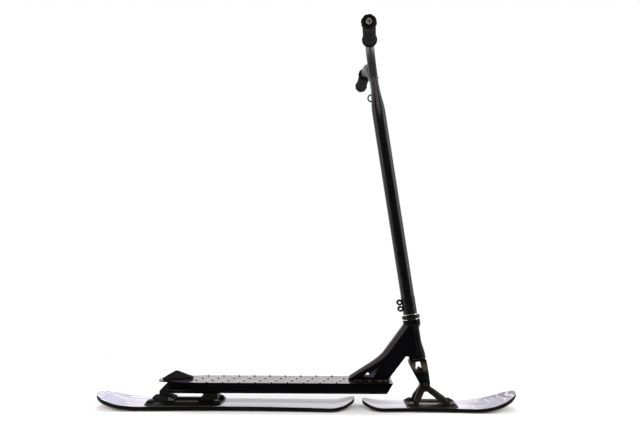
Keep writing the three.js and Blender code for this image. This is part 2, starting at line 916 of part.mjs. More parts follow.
function makeHeadTube() {
  const outer = turnedSolid([[0, headTube.bottom], ...headTubeOutline(0), [0, headTube.top]]);
  const bore = rod(headTube.bore, headTube.bottom - overrun, headTube.top + overrun);
  const lowSeat = rod(bearing.radius + seatGap, headTube.bottom - overrun, lowerSeat + seatGap);
  const highSeat = rod(bearing.radius + seatGap, upperSeat - seatGap, headTube.top + overrun);
  const tube = cutFrom(solidOf(outer), bore, lowSeat, highSeat);
  add(scooter, 'head_tube', onAxis(geometryOf(tube)), materials.deckPaint);
}

function bearingRing(bottom) {
  const { radius, bore, height, chamfer } = bearing;
  return turned([
    [bore, bottom],
    [radius - chamfer, bottom],
    [radius, bottom + chamfer],
    [radius, bottom + height - chamfer],
    [radius - chamfer, bottom + height],
    [bore, bottom + height],
  ]);
}

const ring = (inner, outer, bottom, top, sides = roundSides) => turned(
  [[inner, bottom], [outer, bottom], [outer, top], [inner, top]], sides);

const lowerBearingFoot = lowerSeat - bearing.height;
const upperBearingTop = upperSeat + bearing.height;
const cupTop = headTube.top + seatGap + headset.ringHeight;
const coverFloor = cupTop + seatGap;
const coverTop = coverFloor + headset.coverHeight;
const spacerTop = coverTop + seatGap + headset.spacerHeight;
const barFoot = spacerTop + bar.bottomGap;

function makeHeadset() {
  add(scooter, 'lower_bearing', onAxis(bearingRing(lowerBearingFoot)), materials.steel);
  add(scooter, 'upper_bearing', onAxis(bearingRing(upperSeat)), materials.steel);
  const cupRing = ring(bearing.radius + seatGap, headset.ringRadius, headTube.top + seatGap, cupTop);
  add(scooter, 'headset_cup_ring', onAxis(cupRing), materials.chrome);
  const raceFoot = fork.crownTop + seatGap;
  add(steering, 'crown_race', turned([
    [steerer.radius + seatGap, raceFoot],
    [headset.raceRadius, raceFoot],
    [headset.raceRadius, raceFoot + headset.raceHeight / 2],
    [bearing.bore + bearing.chamfer * 3, lowerBearingFoot - seatGap],
    [steerer.radius + seatGap, lowerBearingFoot - seatGap],
  ]), materials.steel);
  const pocket = headset.coverCrest;
  const ringTop = coverFloor + headset.coverHeight / 2;
  add(steering, 'compression_ring', turned([
    [steerer.radius + seatGap, upperBearingTop + seatGap],
    [bearing.bore + bearing.chamfer * 3, upperBearingTop + seatGap],
    [pocket - seatGap, ringTop - seatGap],
    [steerer.radius + seatGap, ringTop - seatGap],
  ]), materials.steel);
  const round = headset.coverRound;
  add(steering, 'headset_cover', turned([
    [steerer.radius + seatGap, ringTop],
    [pocket, ringTop],
    [pocket, coverFloor],
    ...arc(headset.coverRadius - round, coverFloor + round, round, -90, 0, 2),
    ...arc(headset.coverRadius - round, coverTop - round, round, 0, 90, 2),
    [steerer.radius + seatGap, coverTop],
  ]), materials.blackAnodised);
  const spacer = ring(steerer.radius + seatGap, headset.spacerRadius, coverTop + seatGap, spacerTop);
  add(steering, 'spacer_ring', spacer, materials.chrome);
}

// Neck: a side outline whose top edge is chamfered on both sides, cut round the head tube
function neckOutline(inset) {
  const { toeX, toeRise, bendX, bendZ, topX, topZ } = neck;
  const floor = deck.topZ + seatGap;
  const straight = new THREE.Vector2(topX - bendX, topZ - bendZ).normalize();
  const toe = new THREE.Vector2(toeX, floor + toeRise);
  const bend = new THREE.Vector2(bendX, bendZ);
  const reach = bend.distanceTo(toe) * neck.toeReachShare;
  const toeHandle = toe.clone().add(new THREE.Vector2(reach, reach * neck.toeSlopeShare));
  const bendHandle = bend.clone().sub(straight.clone().multiplyScalar(reach));
  const curve = new THREE.CubicBezierCurve(toe, toeHandle, bendHandle, bend);
  const points = curve.getPoints(neck.curveSteps);
  points.push(new THREE.Vector2(topX, topZ));
  const crest = points.map((p, i) => {
    const before = points[Math.max(0, i - 1)];
    const after = points[Math.min(points.length - 1, i + 1)];
    const along = after.clone().sub(before).normalize();
    const depth = inset * Math.min(1, neck.toeChamferShare + i / neck.curveSteps);
    return [p.x + along.y * depth, p.y - along.x * depth];
  });
  return [
    [toeX + inset, floor],
    ...crest,
    [topX + neck.width / 2, topZ + neck.width / 4],
    [neck.frontTopX + neck.width / 2, neck.frontTopZ - neck.frontDrop],
    [neck.frontTopX, neck.frontTopZ - neck.frontDrop],
    [neck.frontFootX, floor],
  ];
}

function makeNeck() {
  const half = neck.width / 2;
  const ringAt = (y, inset) => neckOutline(inset).map(([x, z]) => new THREE.Vector3(x, y, z));
  const skin = loft([
    ringAt(-half, neck.chamfer),
    ringAt(-half + neck.chamfer, 0),
    ringAt(half - neck.chamfer, 0),
    ringAt(half, neck.chamfer),
  ]);
  const top = headTube.top + overrun;
  const tubeRoom = turnedSolid([
    [0, headTube.bottom - overrun],
    [headTube.bottomRadius + seatGap, headTube.bottom - overrun],
    ...headTubeOutline(seatGap),
    [headTube.topRadius + seatGap, top],
    [0, top],
  ]);
  const ahead = acrossY([
    [axisGroundX, 0],
    [axisGroundX - top * Math.sin(rake), top * Math.cos(rake)],
    [axisGroundX + top, top],
    [axisGroundX + top, 0],
  ], neck.width * 2);
  const pocket = acrossY([
    [neck.pocketBackX, neck.pocketFootZ],
    [neck.pocketPeakX, neck.pocketPeakZ],
    [neck.pocketFrontX, neck.pocketFootZ],
  ], neck.width);
  const opening = acrossY([
    [neck.openingBackX, neck.openingFootZ],
    [neck.openingPeakX, neck.openingPeakZ],
    [neck.openingFrontX, neck.openingFootZ],
  ], neck.width * 2);
  const pockets = [1, -1].map((sign) => moved(pocket, 0, sign * (neck.width - neck.pocketDepth), 0));
  const solid = cutFrom(solidOf(skin), onAxis(tubeRoom), ahead, ...pockets, opening);
  addSolid(scooter, 'neck', solid, materials.deckPaint);
}

// Rear adaptor: a plate under the deck, a heel behind it and a front foot between the rails
function makeRearAdaptor() {
  const top = deckBottom - seatGap;
  const floor = plateFloor(rearSki);
  const webTop = floor + plate.webThickness + seatGap;
  const railTop = floor + rearPlate.railHeight + seatGap;
  const under = top - bracket.plateThickness;
  const behind = deck.boxTailX - seatGap;
  const bed = acrossY([
    [behind, top],
    [behind, under],
    [bracket.footFrontX, under],
    [bracket.footFrontX, top],
  ], bracket.half * 2);
  const heel = acrossY([
    [behind, top],
    [behind, bracket.heelTopZ],
    [bracket.heelTopX, bracket.heelTopZ],
    [bracket.heelBackX, bracket.heelBackZ],
    [bracket.heelBackX, bracket.heelSoleZ],
    [bracket.heelFrontX, bracket.heelSoleZ],
    [bracket.heelFrontX, under - bracket.heelChamfer],
    [bracket.heelFrontX + bracket.heelChamfer, under],
    [bracket.heelFrontX + bracket.heelChamfer, top],
  ], bracket.heelHalf * 2);
  const foot = acrossY([
    [bracket.footBackX - bracket.footChamfer, under],
    [bracket.footBackX, under - bracket.footChamfer],
    [bracket.footToeX, railTop],
    [bracket.footToeX, webTop],
    [bracket.footFrontX, webTop],
    [bracket.footFrontX, top - bracket.plateThickness / 2],
    [bracket.footBackX - bracket.footChamfer, top - bracket.plateThickness / 2],
  ], bracket.footHalf * 2);
  const boltHole = rod(bracketBolt.shankRadius + seatGap, 0, top + overrun, smallSides);
  const boltHoles = bracketBolt.xs.map((x) => moved(boltHole, x, 0, 0));
  const counterbore = rod(bracketBolt.headRadius + 2 * seatGap, 0, bracket.counterboreZ, bossSides);
  const headRoom = moved(counterbore, bracketBolt.xs[1], 0, 0);
  const drilled = cutFrom(joined(bed, heel, foot), ...boltHoles, headRoom);
  addSolid(scooter, 'rear_adaptor', drilled, materials.nylon);

  const blockTop = bracket.heelSoleZ - seatGap;
  const { backX, frontX, topBackX, topFrontX, half, topHalf, footRise, flankRise } = block;
  const blockSide = acrossY([
    [backX, railTop],
    [frontX, railTop],
    [frontX, railTop + footRise],
    [topFrontX, blockTop],
    [topBackX, blockTop],
    [backX, railTop + footRise],
  ], half * 2);
  const blockFront = alongX(mirrored([
    [half, railTop - overrun],
    [half, railTop + flankRise],
    [topHalf, blockTop],
  ]), backX - overrun, frontX + overrun);
  const { x, z, radius, headRadius, headWidth, chamfer, socket, nutRadius, nutWidth } = blockBolt;
  const nutSeat = half - nutWidth;
  addSolid(scooter, 'rear_block', cutFrom(solidOf(blockSide).intersect(solidOf(blockFront)),
    ...bossRoom(rearPlate, rearSki),
    rodAcross(radius + seatGap, -half - overrun, half + overrun, x, z),
    rodAcross(nutRadius + seatGap, nutSeat, half + overrun, x, z, bossSides)), materials.rubberGreen);
  const seat = half + seatGap;
  const face = seat + headWidth;
  add(scooter, 'block_bolt', turnedSolid([
    [0, -face + headWidth / 2],
    [socket, -face + headWidth / 2],
    [socket, -face],
    [headRadius - chamfer, -face],
    [headRadius, -face + chamfer],
    [headRadius, -seat],
    [radius, -seat],
    [radius, half],
    [0, half],
  ], bossSides).rotateX(-Math.PI / 2).translate(x, 0, z), materials.blackAnodised);
  const nut = ring(radius + seatGap, nutRadius, nutSeat + seatGap, half, bossSides)
    .rotateX(-Math.PI / 2).translate(x, 0, z);
  add(scooter, 'block_nut', nut, materials.blackAnodised);

  const [backBoltX, frontBoltX] = bracketBolt.xs;
  const stripFloor = deckBottom + deck.wall + seatGap;
  const stripTop = stripFloor + deck.wall;
  const { nutMargin, headRadius: boltHead, headHeight: boltRise, shankRadius } = bracketBolt;
  const strip = upward(bothSides([
    [backBoltX - nutMargin, nutMargin],
    [frontBoltX + nutMargin, nutMargin],
  ]), stripFloor, stripTop);
  const stripHole = rod(shankRadius + seatGap, 0, stripTop + overrun, smallSides);
  const stripHoles = bracketBolt.xs.map((x) => moved(stripHole, x, 0, 0));
  addSolid(scooter, 'nut_strip', cutFrom(solidOf(strip), ...stripHoles), materials.steel);
  bracketBolt.xs.forEach((x, i) => {
    const floor = (x > bracket.footToeX ? bracket.counterboreZ : under) - seatGap;
    const bolt = turnedSolid([
      [0, floor - boltRise],
      [boltHead, floor - boltRise],
      [boltHead, floor],
      [shankRadius, floor],
      [shankRadius, stripTop + bracketBolt.overhang],
      [0, stripTop + bracketBolt.overhang],
    ], smallSides);
    add(scooter, `adaptor_bolt_${i + 1}`, moved(bolt, x, 0, 0), materials.steel);
  });
}

// Fork: a side outline and a front outline crossed, with an opening under the crown
function makeFork() {
  const { crownTop, crownBack, crownFront, axleU, axleS, endRadius } = fork;
  const { kneeBack, kneeBackS, kneeFront, kneeFrontS } = fork;
  const chamfer = fork.crownDepth / 2;
  const side = acrossY([
    [crownBack + chamfer, crownTop],
    [crownBack, crownTop - chamfer],
    [kneeBack, kneeBackS],
    ...arc(axleU, axleS, endRadius, fork.endFromDegrees, fork.endToDegrees, 8),
    [kneeFront, kneeFrontS],
    [crownFront + chamfer, crownTop - chamfer * 2],
    [crownFront, crownTop],
  ], fork.width);
  const top = crownTop - fork.crownDepth;
  const between = acrossY([
    [crownBack - overrun, top],
    [crownBack - overrun, 0],
    [kneeFront + overrun * 2, 0],
    [kneeFront + overrun * 2, top],
  ], fork.gap);
  const { bottom, back, front, slant } = forkWindow;
  const opening = acrossY([
    [back, top],
    [back - slant / 2, (top + bottom) / 2],
    [back + slant, bottom],
    [front + slant, bottom],
    [front + slant, (top + bottom) / 2 + slant],
    [front, top],
  ], fork.width * 2);
  let solid = cutFrom(solidOf(side), between, opening);
  solid = solid.add(solidOf(rod(steerer.radius, top, steerer.top)));
  solid = cutFrom(solid,
    rod(steerer.radius - steerer.wall, top - overrun, steerer.top + overrun),
    rodAcross(axleBolt.radius + seatGap, -fork.width, fork.width, axleU, axleS),
    rodAcross(lockBolt.radius + seatGap, -fork.width, fork.width, lockBolt.u, lockBolt.s));
  addSolid(steering, 'fork', solid, materials.blackPaint);
}

function addCrossBolt(name, spec, u, s, nutted) {
  const half = fork.width / 2 + seatGap;
  const bolt = turnedSolid([
    [0, -half - spec.headHeight / 2],
    [spec.socket, -half - spec.headHeight / 2],
    [spec.socket, -half - spec.headHeight],
    [spec.headRadius - spec.headHeight / 4, -half - spec.headHeight],
    [spec.headRadius, -half - spec.headHeight * 3 / 4],
    [spec.headRadius, -half],
    [spec.radius, -half],
    [spec.radius, half + spec.nutHeight + seatGap],
    [0, half + spec.nutHeight + seatGap],
  ], smallSides).rotateX(-Math.PI / 2).translate(u, 0, s);
  add(steering, `${name}_bolt`, bolt, materials.steel);
  if (!nutted) {
    return;
  }
  const nut = cutFrom(solidOf(rodAcross(spec.nutRadius, half, half + spec.nutHeight, u, s, hexSides)),
    rodAcross(spec.radius + seatGap, 0, fork.width, u, s));
  addSolid(steering, `${name}_nut`, nut, materials.steel);
}

// Front adaptor: the upright, its four legs and the arch between them
function makeFrontAdaptor() {
  const sole = plateFloor(frontSki) + frontPlate.railHeight + seatGap;
  const half = fork.gap / 2 - seatGap;
  const [lockX, lockZ] = [
    axisGroundX + lockBolt.u * Math.cos(rake) - lockBolt.s * Math.sin(rake),
    lockBolt.u * Math.sin(rake) + lockBolt.s * Math.cos(rake),
  ];
  const side = acrossY([
    ...arc(lockX, lockZ, adaptor.topRadius, 0, 180, 8),
    [adaptor.apexBackX, adaptor.apexZ + adaptor.backRise],
    [adaptor.apexBackX - adaptor.backStep, adaptor.apexZ],
    [adaptor.backFootX, sole + adaptor.soleHeight],
    [adaptor.backFootX, sole],
    [adaptor.backFootX + adaptor.backFootRun, sole],
    ...arc(adaptor.archX, adaptor.archZ - adaptor.archHalf, adaptor.archHalf,
      adaptor.archFromDegrees, adaptor.archToDegrees, 6),
    [adaptor.frontFootX, sole],
    [adaptor.frontFootX + adaptor.frontFootRun, sole],
    [adaptor.frontFootX + adaptor.frontFootRun, sole + adaptor.soleHeight],
    [adaptor.apexFrontX + adaptor.kneeRun, adaptor.apexZ - adaptor.kneeDrop],
    [adaptor.apexFrontX, adaptor.apexZ],
    [adaptor.apexFrontX - adaptor.frontStep, adaptor.apexZ + adaptor.frontRise],
  ], adaptor.footOuter * 2);
  const outline = mirrored([
    [half, lockZ + adaptor.topRadius + overrun],
    [half, adaptor.splayZ],
    [adaptor.footOuter - adaptor.legLean, sole + adaptor.outerRise],
    [adaptor.footOuter, sole - overrun],
    [adaptor.footInner, sole - overrun],
    [adaptor.footInner - adaptor.legLean, sole + adaptor.innerRise],
    [adaptor.crotchHalf, adaptor.crotchZ],
  ]);
  const toeX = adaptor.frontFootX + adaptor.frontFootRun;
  const front = alongX(outline, adaptor.backFootX - overrun, toeX + overrun);
  const drawn = cutFrom(solidOf(side).intersect(solidOf(front)), ...bossRoom(frontPlate, frontSki));
  const solid = cutFrom(solidOf(intoSteering(geometryOf(drawn))),
    rodAcross(axleBolt.radius + seatGap, -fork.width, fork.width, fork.axleU, fork.axleS),
    rodAcross(lockBolt.radius + seatGap, -fork.width, fork.width, lockBolt.u, lockBolt.s));
  addSolid(steering, 'front_adaptor', solid, materials.nylon);
}

// A tube along points, with rings square to the path
function tubeAlong(points, radius, sides) {
  const path = points.map((p) => new THREE.Vector3(...p));
  const tangents = path.map((p, i) => {
    const before = path[Math.max(0, i - 1)];
    const after = path[Math.min(path.length - 1, i + 1)];
    return after.clone().sub(before).normalize();
  });
  let side = new THREE.Vector3(1, 0, 0);
  if (Math.abs(tangents[0].x) > 0.7) {
    side = new THREE.Vector3(0, 1, 0);
  }
  return loft(path.map((p, i) => {
    side = side.clone().addScaledVector(tangents[i], -side.dot(tangents[i])).normalize();
    const up = tangents[i].clone().cross(side);
    return Array.from({ length: sides }, (_, k) => {
      const angle = (2 * Math.PI * k) / sides;
      const beside = p.clone().addScaledVector(side, radius * Math.cos(angle));
      return beside.addScaledVector(up, radius * Math.sin(angle));
    });
  }));
}

// Bar: down tube with its pinched head, and the wings that rise from it
function barSection(s, grow) {
  const share = THREE.MathUtils.smoothstep(s, yokeStart, bar.yokeTop - bar.yokeFlat);
  const depth = lerp(bar.radius, bar.yokeHalfDepth, share) + grow;
  const widthShare = THREE.MathUtils.smoothstep(s, yokeStart, bar.yokeTop);
  const width = lerp(bar.radius, bar.yokeHalfWidth, widthShare) + grow;
  const power = 2 / lerp(2, 2.6, share);
  return Array.from({ length: roundSides }, (_, i) => {
    const angle = (2 * Math.PI * i) / roundSides;
    const c = Math.cos(angle);
    const d = Math.sin(angle);
    return new THREE.Vector3(
      depth * Math.sign(c) * Math.abs(c) ** power,
      width * Math.sign(d) * Math.abs(d) ** power,
      s,
    );
  });
}

function barBody(grow, bottom, top) {
  const stations = [bottom, yokeStart];
  const steps = 7;
  for (let i = 1; i <= steps; i += 1) {
    stations.push(lerp(yokeStart, bar.yokeTop, i / steps));
  }
  stations[stations.length - 1] = top;
  return loft(stations.map((s) => barSection(s, grow)));
}

function makeBar() {
  const innerRadius = bar.radius - bar.wall;
  const bore = rod(innerRadius, barFoot - overrun, yokeStart);
  const slot = new THREE.BoxGeometry(bar.radius * 2, bar.slotWidth, bar.slotHeight + overrun)
    .translate(-bar.radius, 0, barFoot + (bar.slotHeight - overrun) / 2);
  const tube = cutFrom(solidOf(barBody(0, barFoot, bar.yokeTop)), bore, slot);
  addSolid(steering, 'down_tube', tube, materials.blackPaint);
  const sleeveTop = barFoot + shimLength;
  const sleeve = ring(steerer.radius + seatGap, innerRadius - seatGap, barFoot, sleeveTop);
  const sleeveSlot = new THREE.BoxGeometry(bar.radius * 2, bar.slotWidth, shimLength + 2 * overrun)
    .translate(-bar.radius, 0, barFoot + shimLength / 2);
  addSolid(steering, 'shim_sleeve', cutFrom(solidOf(sleeve), sleeveSlot), materials.steel);
}

const barCrest = bar.yokeTop + wing.rise;
const bendStartY = wing.startY
  + (wing.rise - wing.bendRadius * (1 - Math.cos(wing.riseAngle))) / Math.tan(wing.riseAngle);
const gripStartY = bendStartY + wing.bendRadius * Math.sin(wing.riseAngle) + wing.levelRun;
const gripEndY = gripStartY + grip.length;

function wingPath(start) {
  const { riseAngle, bendRadius, bendSteps } = wing;
  const points = [[wing.startY - start / Math.tan(riseAngle), bar.yokeTop - start]];
  for (let i = 0; i <= bendSteps; i += 1) {
    const angle = riseAngle * (1 - i / bendSteps);
    points.push([
      bendStartY + bendRadius * (Math.sin(riseAngle) - Math.sin(angle)),
      barCrest - bendRadius * (1 - Math.cos(angle)),
    ]);
  }
  points.push([gripEndY, barCrest]);
  return points;
}

function makeWing(sign, word) {
  const foot = 2 * wing.radius;
  const place = ([run, s]) => [-run * Math.sin(wing.sweep), sign * run * Math.cos(wing.sweep), s];
  const path = wingPath(foot);
  const hollow = [...path.slice(0, -1), [gripEndY + overrun, barCrest]];
  const reach = 4 * bar.yokeHalfWidth;
  const cube = new THREE.BoxGeometry(reach, reach, reach);
  const below = moved(cube, 0, 0, bar.yokeTop + seatGap - reach / 2);
  const beyond = moved(cube, 0, -sign * (reach / 2 - seatGap / 2), bar.yokeTop);
  const solid = cutFrom(solidOf(tubeAlong(path.map(place), wing.radius, roundSides)),
    tubeAlong(hollow.map(place), wing.radius - wing.wall, bossSides), below, beyond);
  addSolid(steering, `wing_${word}`, solid, materials.blackPaint);
}

// A piece that is drawn along Z, laid along the swept bar end
function alongBar(geometry, sign) {
  const along = new THREE.Vector3(-Math.sin(wing.sweep), sign * Math.cos(wing.sweep), 0);
  const up = new THREE.Vector3(0, 0, 1);
  const matrix = new THREE.Matrix4().makeBasis(up.clone().cross(along).negate(), up, along);
  if (matrix.determinant() < 0) {
    matrix.makeBasis(up.clone().cross(along), up, along);
  }
  return geometry.clone().applyMatrix4(matrix).translate(0, 0, barCrest);
}

function makeGrip(sign, word) {
  const bore = wing.radius + seatGap;
  const { bodyRadius, flangeRadius, flangeWidth, flangeBlend, lip } = grip;
  const { collarWidth, collarRadius, collarCrown, collarBlend } = grip;
  const innerY = gripStartY;
  const end = gripEndY;
  const body = turned([
    [bore, innerY],
    [flangeRadius - lip, innerY],
    [flangeRadius, innerY + lip],
    [flangeRadius, innerY + flangeWidth],
    [bodyRadius, innerY + flangeWidth + flangeBlend],
    [bodyRadius, end - collarWidth - collarBlend],
    [collarRadius, end - collarWidth],
    [collarRadius + collarCrown, end - collarWidth / 2],
    [collarRadius, end - lip],
    [collarRadius - lip, end],
    [bore, end],
  ]);
  const scallop = rod(grip.scallopRadius, end - collarWidth, end + overrun, smallSides);
  const cuts = Array.from({ length: grip.scallops }, (_, i) => {
    const angle = (2 * Math.PI * (i + 0.5)) / grip.scallops;
    const away = collarRadius + collarCrown + grip.scallopRadius - grip.scallopDepth;
    return moved(scallop, away * Math.cos(angle), away * Math.sin(angle), 0);
  });
  const sleeve = geometryOf(cutFrom(solidOf(body), ...cuts));
  add(steering, `grip_${word}`, alongBar(sleeve, sign), materials.rubber);
  const plugSeat = end + seatGap;
  const plugBore = wing.radius - wing.wall - seatGap;
  const plug = turnedSolid([
    [0, end - endPlug.stemLength],
    [plugBore - endPlug.chamfer, end - endPlug.stemLength],
    [plugBore, end - endPlug.stemLength + endPlug.chamfer],
    [plugBore, plugSeat],
    [endPlug.headRadius, plugSeat],
    [endPlug.headRadius, plugSeat + endPlug.headWidth - endPlug.chamfer],
    [endPlug.headRadius - endPlug.chamfer, plugSeat + endPlug.headWidth],
    [endPlug.recessRadius, plugSeat + endPlug.headWidth],
    [endPlug.recessRadius, plugSeat + endPlug.headWidth - endPlug.recess],
    [0, plugSeat + endPlug.headWidth - endPlug.recess],
  ], bossSides);
  add(steering, `end_plug_${word}`, alongBar(plug, sign), materials.blackAnodised);
}

// Clamp: a slit band with two bolt bosses behind it
function makeClamp() {
  const inner = bar.radius + seatGap;
  const outer = inner + clamp.wall;
  const floor = spacerTop + seatGap;
  const top = floor + clamp.height;
  const lifts = [clamp.bossLow, clamp.bossHigh];
  const acrossBoss = (radius, startY, endY, lift, sides) => rodAcross(
    radius, startY, endY, -clamp.bossReach, floor + lift, sides);
  const neckRun = clamp.bossReach - bar.radius + clamp.wall;
  const bossNeck = new THREE.BoxGeometry(neckRun, clamp.bossHalf * 2, clamp.bossNeck);
  const slit = new THREE.BoxGeometry(clamp.bossReach * 2, clamp.slit, clamp.height + 2 * overrun);
  const pieces = [
    ring(inner, outer, floor, top),
    ...lifts.map((lift) => acrossBoss(clamp.bossRadius, -clamp.bossHalf, clamp.bossHalf, lift, bossSides)),
    ...lifts.map((lift) => moved(bossNeck, -clamp.bossReach + neckRun / 2, 0, floor + lift)),
  ];
  const seat = clamp.bossHalf - clampBolt.headHeight;
  const solid = cutFrom(joined(...pieces),
    rod(inner, floor - overrun, top + overrun),
    moved(slit, -clamp.bossReach - bar.radius / 2, 0, floor + clamp.height / 2),
    ...lifts.map((lift) => acrossBoss(clampBolt.radius + seatGap, -bar.radius, bar.radius, lift, smallSides)),
    ...lifts.map((lift) => acrossBoss(
      clampBolt.headRadius + seatGap, -clamp.bossHalf - overrun, -seat, lift, smallSides)));
  addSolid(steering, 'bar_clamp', solid, materials.blackAnodised);
  [['lower', clamp.bossLow], ['upper', clamp.bossHigh]].forEach(([word, lift]) => {
    const headSeat = -seat - seatGap;
    const bolt = turnedSolid([
      [0, headSeat - clampBolt.headHeight / 2],
      [clampBolt.socket, headSeat - clampBolt.headHeight / 2],
      [clampBolt.socket, headSeat - clampBolt.headHeight],
      [clampBolt.headRadius, headSeat - clampBolt.headHeight],
      [clampBolt.headRadius, headSeat],
      [clampBolt.radius, headSeat],
      [clampBolt.radius, clamp.bossHalf],
      [0, clamp.bossHalf],
    ], smallSides).rotateX(-Math.PI / 2).translate(-clamp.bossReach, 0, floor + lift);
    add(steering, `clamp_bolt_${word}`, bolt, materials.chrome);
  });
}

// Inside the steerer: star nut, and the bolt and cap that load the bearings
function makeCompression() {
  const nutTop = steerer.top - starNut.depth;
  const star = turned([
    [topBolt.radius + seatGap, nutTop - 3 * starNut.thickness],
    [starNut.coreRadius, nutTop - 3 * starNut.thickness],
    [starNut.radius, nutTop - 2 * starNut.thickness],
    [starNut.radius, nutTop - starNut.thickness],
    [starNut.coreRadius, nutTop],
    [topBolt.radius + seatGap, nutTop],
  ], bossSides);
  add(steering, 'star_nut', star, materials.steel);
  const capFloor = steerer.top + seatGap;
  const capTop = capFloor + topBolt.capHeight;
  const cap = ring(topBolt.radius + seatGap, topBolt.capRadius, capFloor, capTop);
  add(steering, 'compression_cap', cap, materials.blackAnodised);
  const headFloor = capTop + seatGap;
  add(steering, 'compression_bolt', turnedSolid([
    [0, headFloor - topBolt.length],
    [topBolt.radius, headFloor - topBolt.length],
    [topBolt.radius, headFloor],
    [topBolt.headRadius, headFloor],
    [topBolt.headRadius, headFloor + topBolt.headHeight],
    [topBolt.socket, headFloor + topBolt.headHeight],
    [topBolt.socket, headFloor + topBolt.headHeight / 2],
    [0, headFloor + topBolt.headHeight / 2],
  ], smallSides), materials.steel);
}

// Leash loop: a bent wire behind the head of the down tube
function makeLoop() {
  const away = -bar.yokeHalfDepth;
  const back = -(bar.radius + bar.yokeHalfDepth) / 2 - loop.reach;
  const points = [];
  for (let i = 0; i <= loop.steps; i += 1) {
    const angle = Math.PI * (i / loop.steps);
    const bow = Math.sin(angle) ** loop.bowShare;
    points.push([away + (back - away) * bow, 0, bar.yokeTop - loop.drop - loop.half * Math.cos(angle)]);
  }
  const wire = tubeAlong(points, loop.wireRadius, loop.sides);
  const tube = barBody(seatGap, yokeStart - overrun, bar.yokeTop);
  addSolid(steering, 'leash_loop', cutFrom(solidOf(wire), tube), materials.blackPaint);
}

// The room that the head and the nut of the block's bolt take in the rails of the rear plate
function blockBoltRoom() {
  const { x, z, headRadius, headWidth, nutRadius, nutWidth } = blockBolt;
  const near = block.half - seatGap;
  const far = block.half + headWidth + 2 * seatGap;
  return [
    rodAcross(headRadius + 2 * seatGap, -far, -near, x, z, roundSides),
    rodAcross(nutRadius + 2 * seatGap, near - nutWidth, far, x, z, bossSides),
  ];
}

const still = (geometry) => geometry;
rearSki.mountX = (rearPlate.startX + rearPlate.endX) / 2;
frontSki.mountX = (frontPlate.startX + frontPlate.endX) / 2;

makeSki(scooter, 'rear_ski', rearSki, plateScrews(rearPlate), still);
makePlate(scooter, 'rear', rearPlate, rearSki, still, blockBoltRoom());
makeDeck();
makeFootStop();
makeHeadTube();
makeNeck();
makeRearAdaptor();
makeHeadset();
makeFork();
addCrossBolt('axle', axleBolt, fork.axleU, fork.axleS, true);
addCrossBolt('lock', lockBolt, lockBolt.u, lockBolt.s, false);
makeFrontAdaptor();
makeSki(steering, 'front_ski', frontSki, plateScrews(frontPlate), intoSteering);
makePlate(steering, 'front', frontPlate, frontSki, intoSteering, []);
makeBar();
for (const [sign, word] of [[1, 'left'], [-1, 'right']]) {
  makeWing(sign, word);
  makeGrip(sign, word);
}
makeClamp();
makeCompression();
makeLoop();

export default scooter;
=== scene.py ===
import math

import bmesh
import bpy
from mathutils import Matrix, Vector


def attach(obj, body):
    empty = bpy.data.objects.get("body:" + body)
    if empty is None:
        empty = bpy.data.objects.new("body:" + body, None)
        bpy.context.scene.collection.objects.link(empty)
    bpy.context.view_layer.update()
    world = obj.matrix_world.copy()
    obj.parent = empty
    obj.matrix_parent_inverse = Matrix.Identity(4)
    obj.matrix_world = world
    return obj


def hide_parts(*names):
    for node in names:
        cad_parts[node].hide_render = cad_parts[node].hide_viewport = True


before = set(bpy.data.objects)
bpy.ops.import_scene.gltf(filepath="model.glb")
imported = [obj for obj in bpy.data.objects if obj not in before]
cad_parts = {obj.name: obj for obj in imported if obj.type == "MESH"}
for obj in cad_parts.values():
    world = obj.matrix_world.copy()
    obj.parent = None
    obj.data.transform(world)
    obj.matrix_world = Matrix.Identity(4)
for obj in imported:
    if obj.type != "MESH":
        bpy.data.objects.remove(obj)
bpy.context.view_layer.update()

# Sizes are in millimetres, +X forward, +Y to the rider's left, +Z up. The steering pieces are drawn
# on their own axis: u forward of it, y across, s up it from the snow.
MM = 0.001
GAP = 0.3
OVERRUN = 5
MERGE = 0.001
COPY_MERGE = 0.01
AXIS_X = 310.3
RAKE = math.radians(8.87)
UPRIGHT = Matrix.Identity(4)
STEERED = Matrix.Translation((AXIS_X * MM, 0, 0)) @ Matrix.Rotation(-RAKE, 4, "Y")
SMOOTH_ANGLE = 35
BEVEL_ANGLE = 30
FLAT_ANGLE = 1
BEAD_ANGLE = 50

EDGE = {"height": 2, "width": 2.2}
EDGE_SHARE = 0.82
BASE_HEIGHT = 2
TOPSHEET = 0.9
TOPSHEET_INSET = 0.8
WALL_LEAN = 2.4
LEAST_HALF = 1.2
TIP_POWER = 2.3
TIP_TURN = math.radians(87)
REAR_SKI = {
    "tail": -545, "nose": 127, "waist_x": -150, "waist": 54.6, "tail_half": 68, "nose_half": 62.5,
    "tail_round": 80, "nose_round": 70, "tail_rise": 28, "tail_run": 131, "nose_rise": 17.5, "nose_run": 62,
    "thick": 12.4, "tip_thick": 9.6, "mount_x": -313,
}
FRONT_SKI = {
    "tail": 147.5, "nose": 541.5, "waist_x": 262, "waist": 54, "tail_half": 57, "nose_half": 66,
    "tail_round": 58, "nose_round": 82, "tail_rise": 13.5, "tail_run": 55, "nose_rise": 35, "nose_run": 119,
    "thick": 10.8, "tip_thick": 9.6, "mount_x": 323.5,
}
PLATES = {
    "rear": {"ski": REAR_SKI, "start": -409, "end": -217, "boss_height": 10.3, "inset": 11},
    "front": {"ski": FRONT_SKI, "start": 259, "end": 388, "boss_height": 7, "inset": 13.5},
}
SCREW = {"gauge": 33, "head": 5.2, "height": 2.4, "chamfer": 1, "socket": 2.4, "shank": 3, "grip": 7}

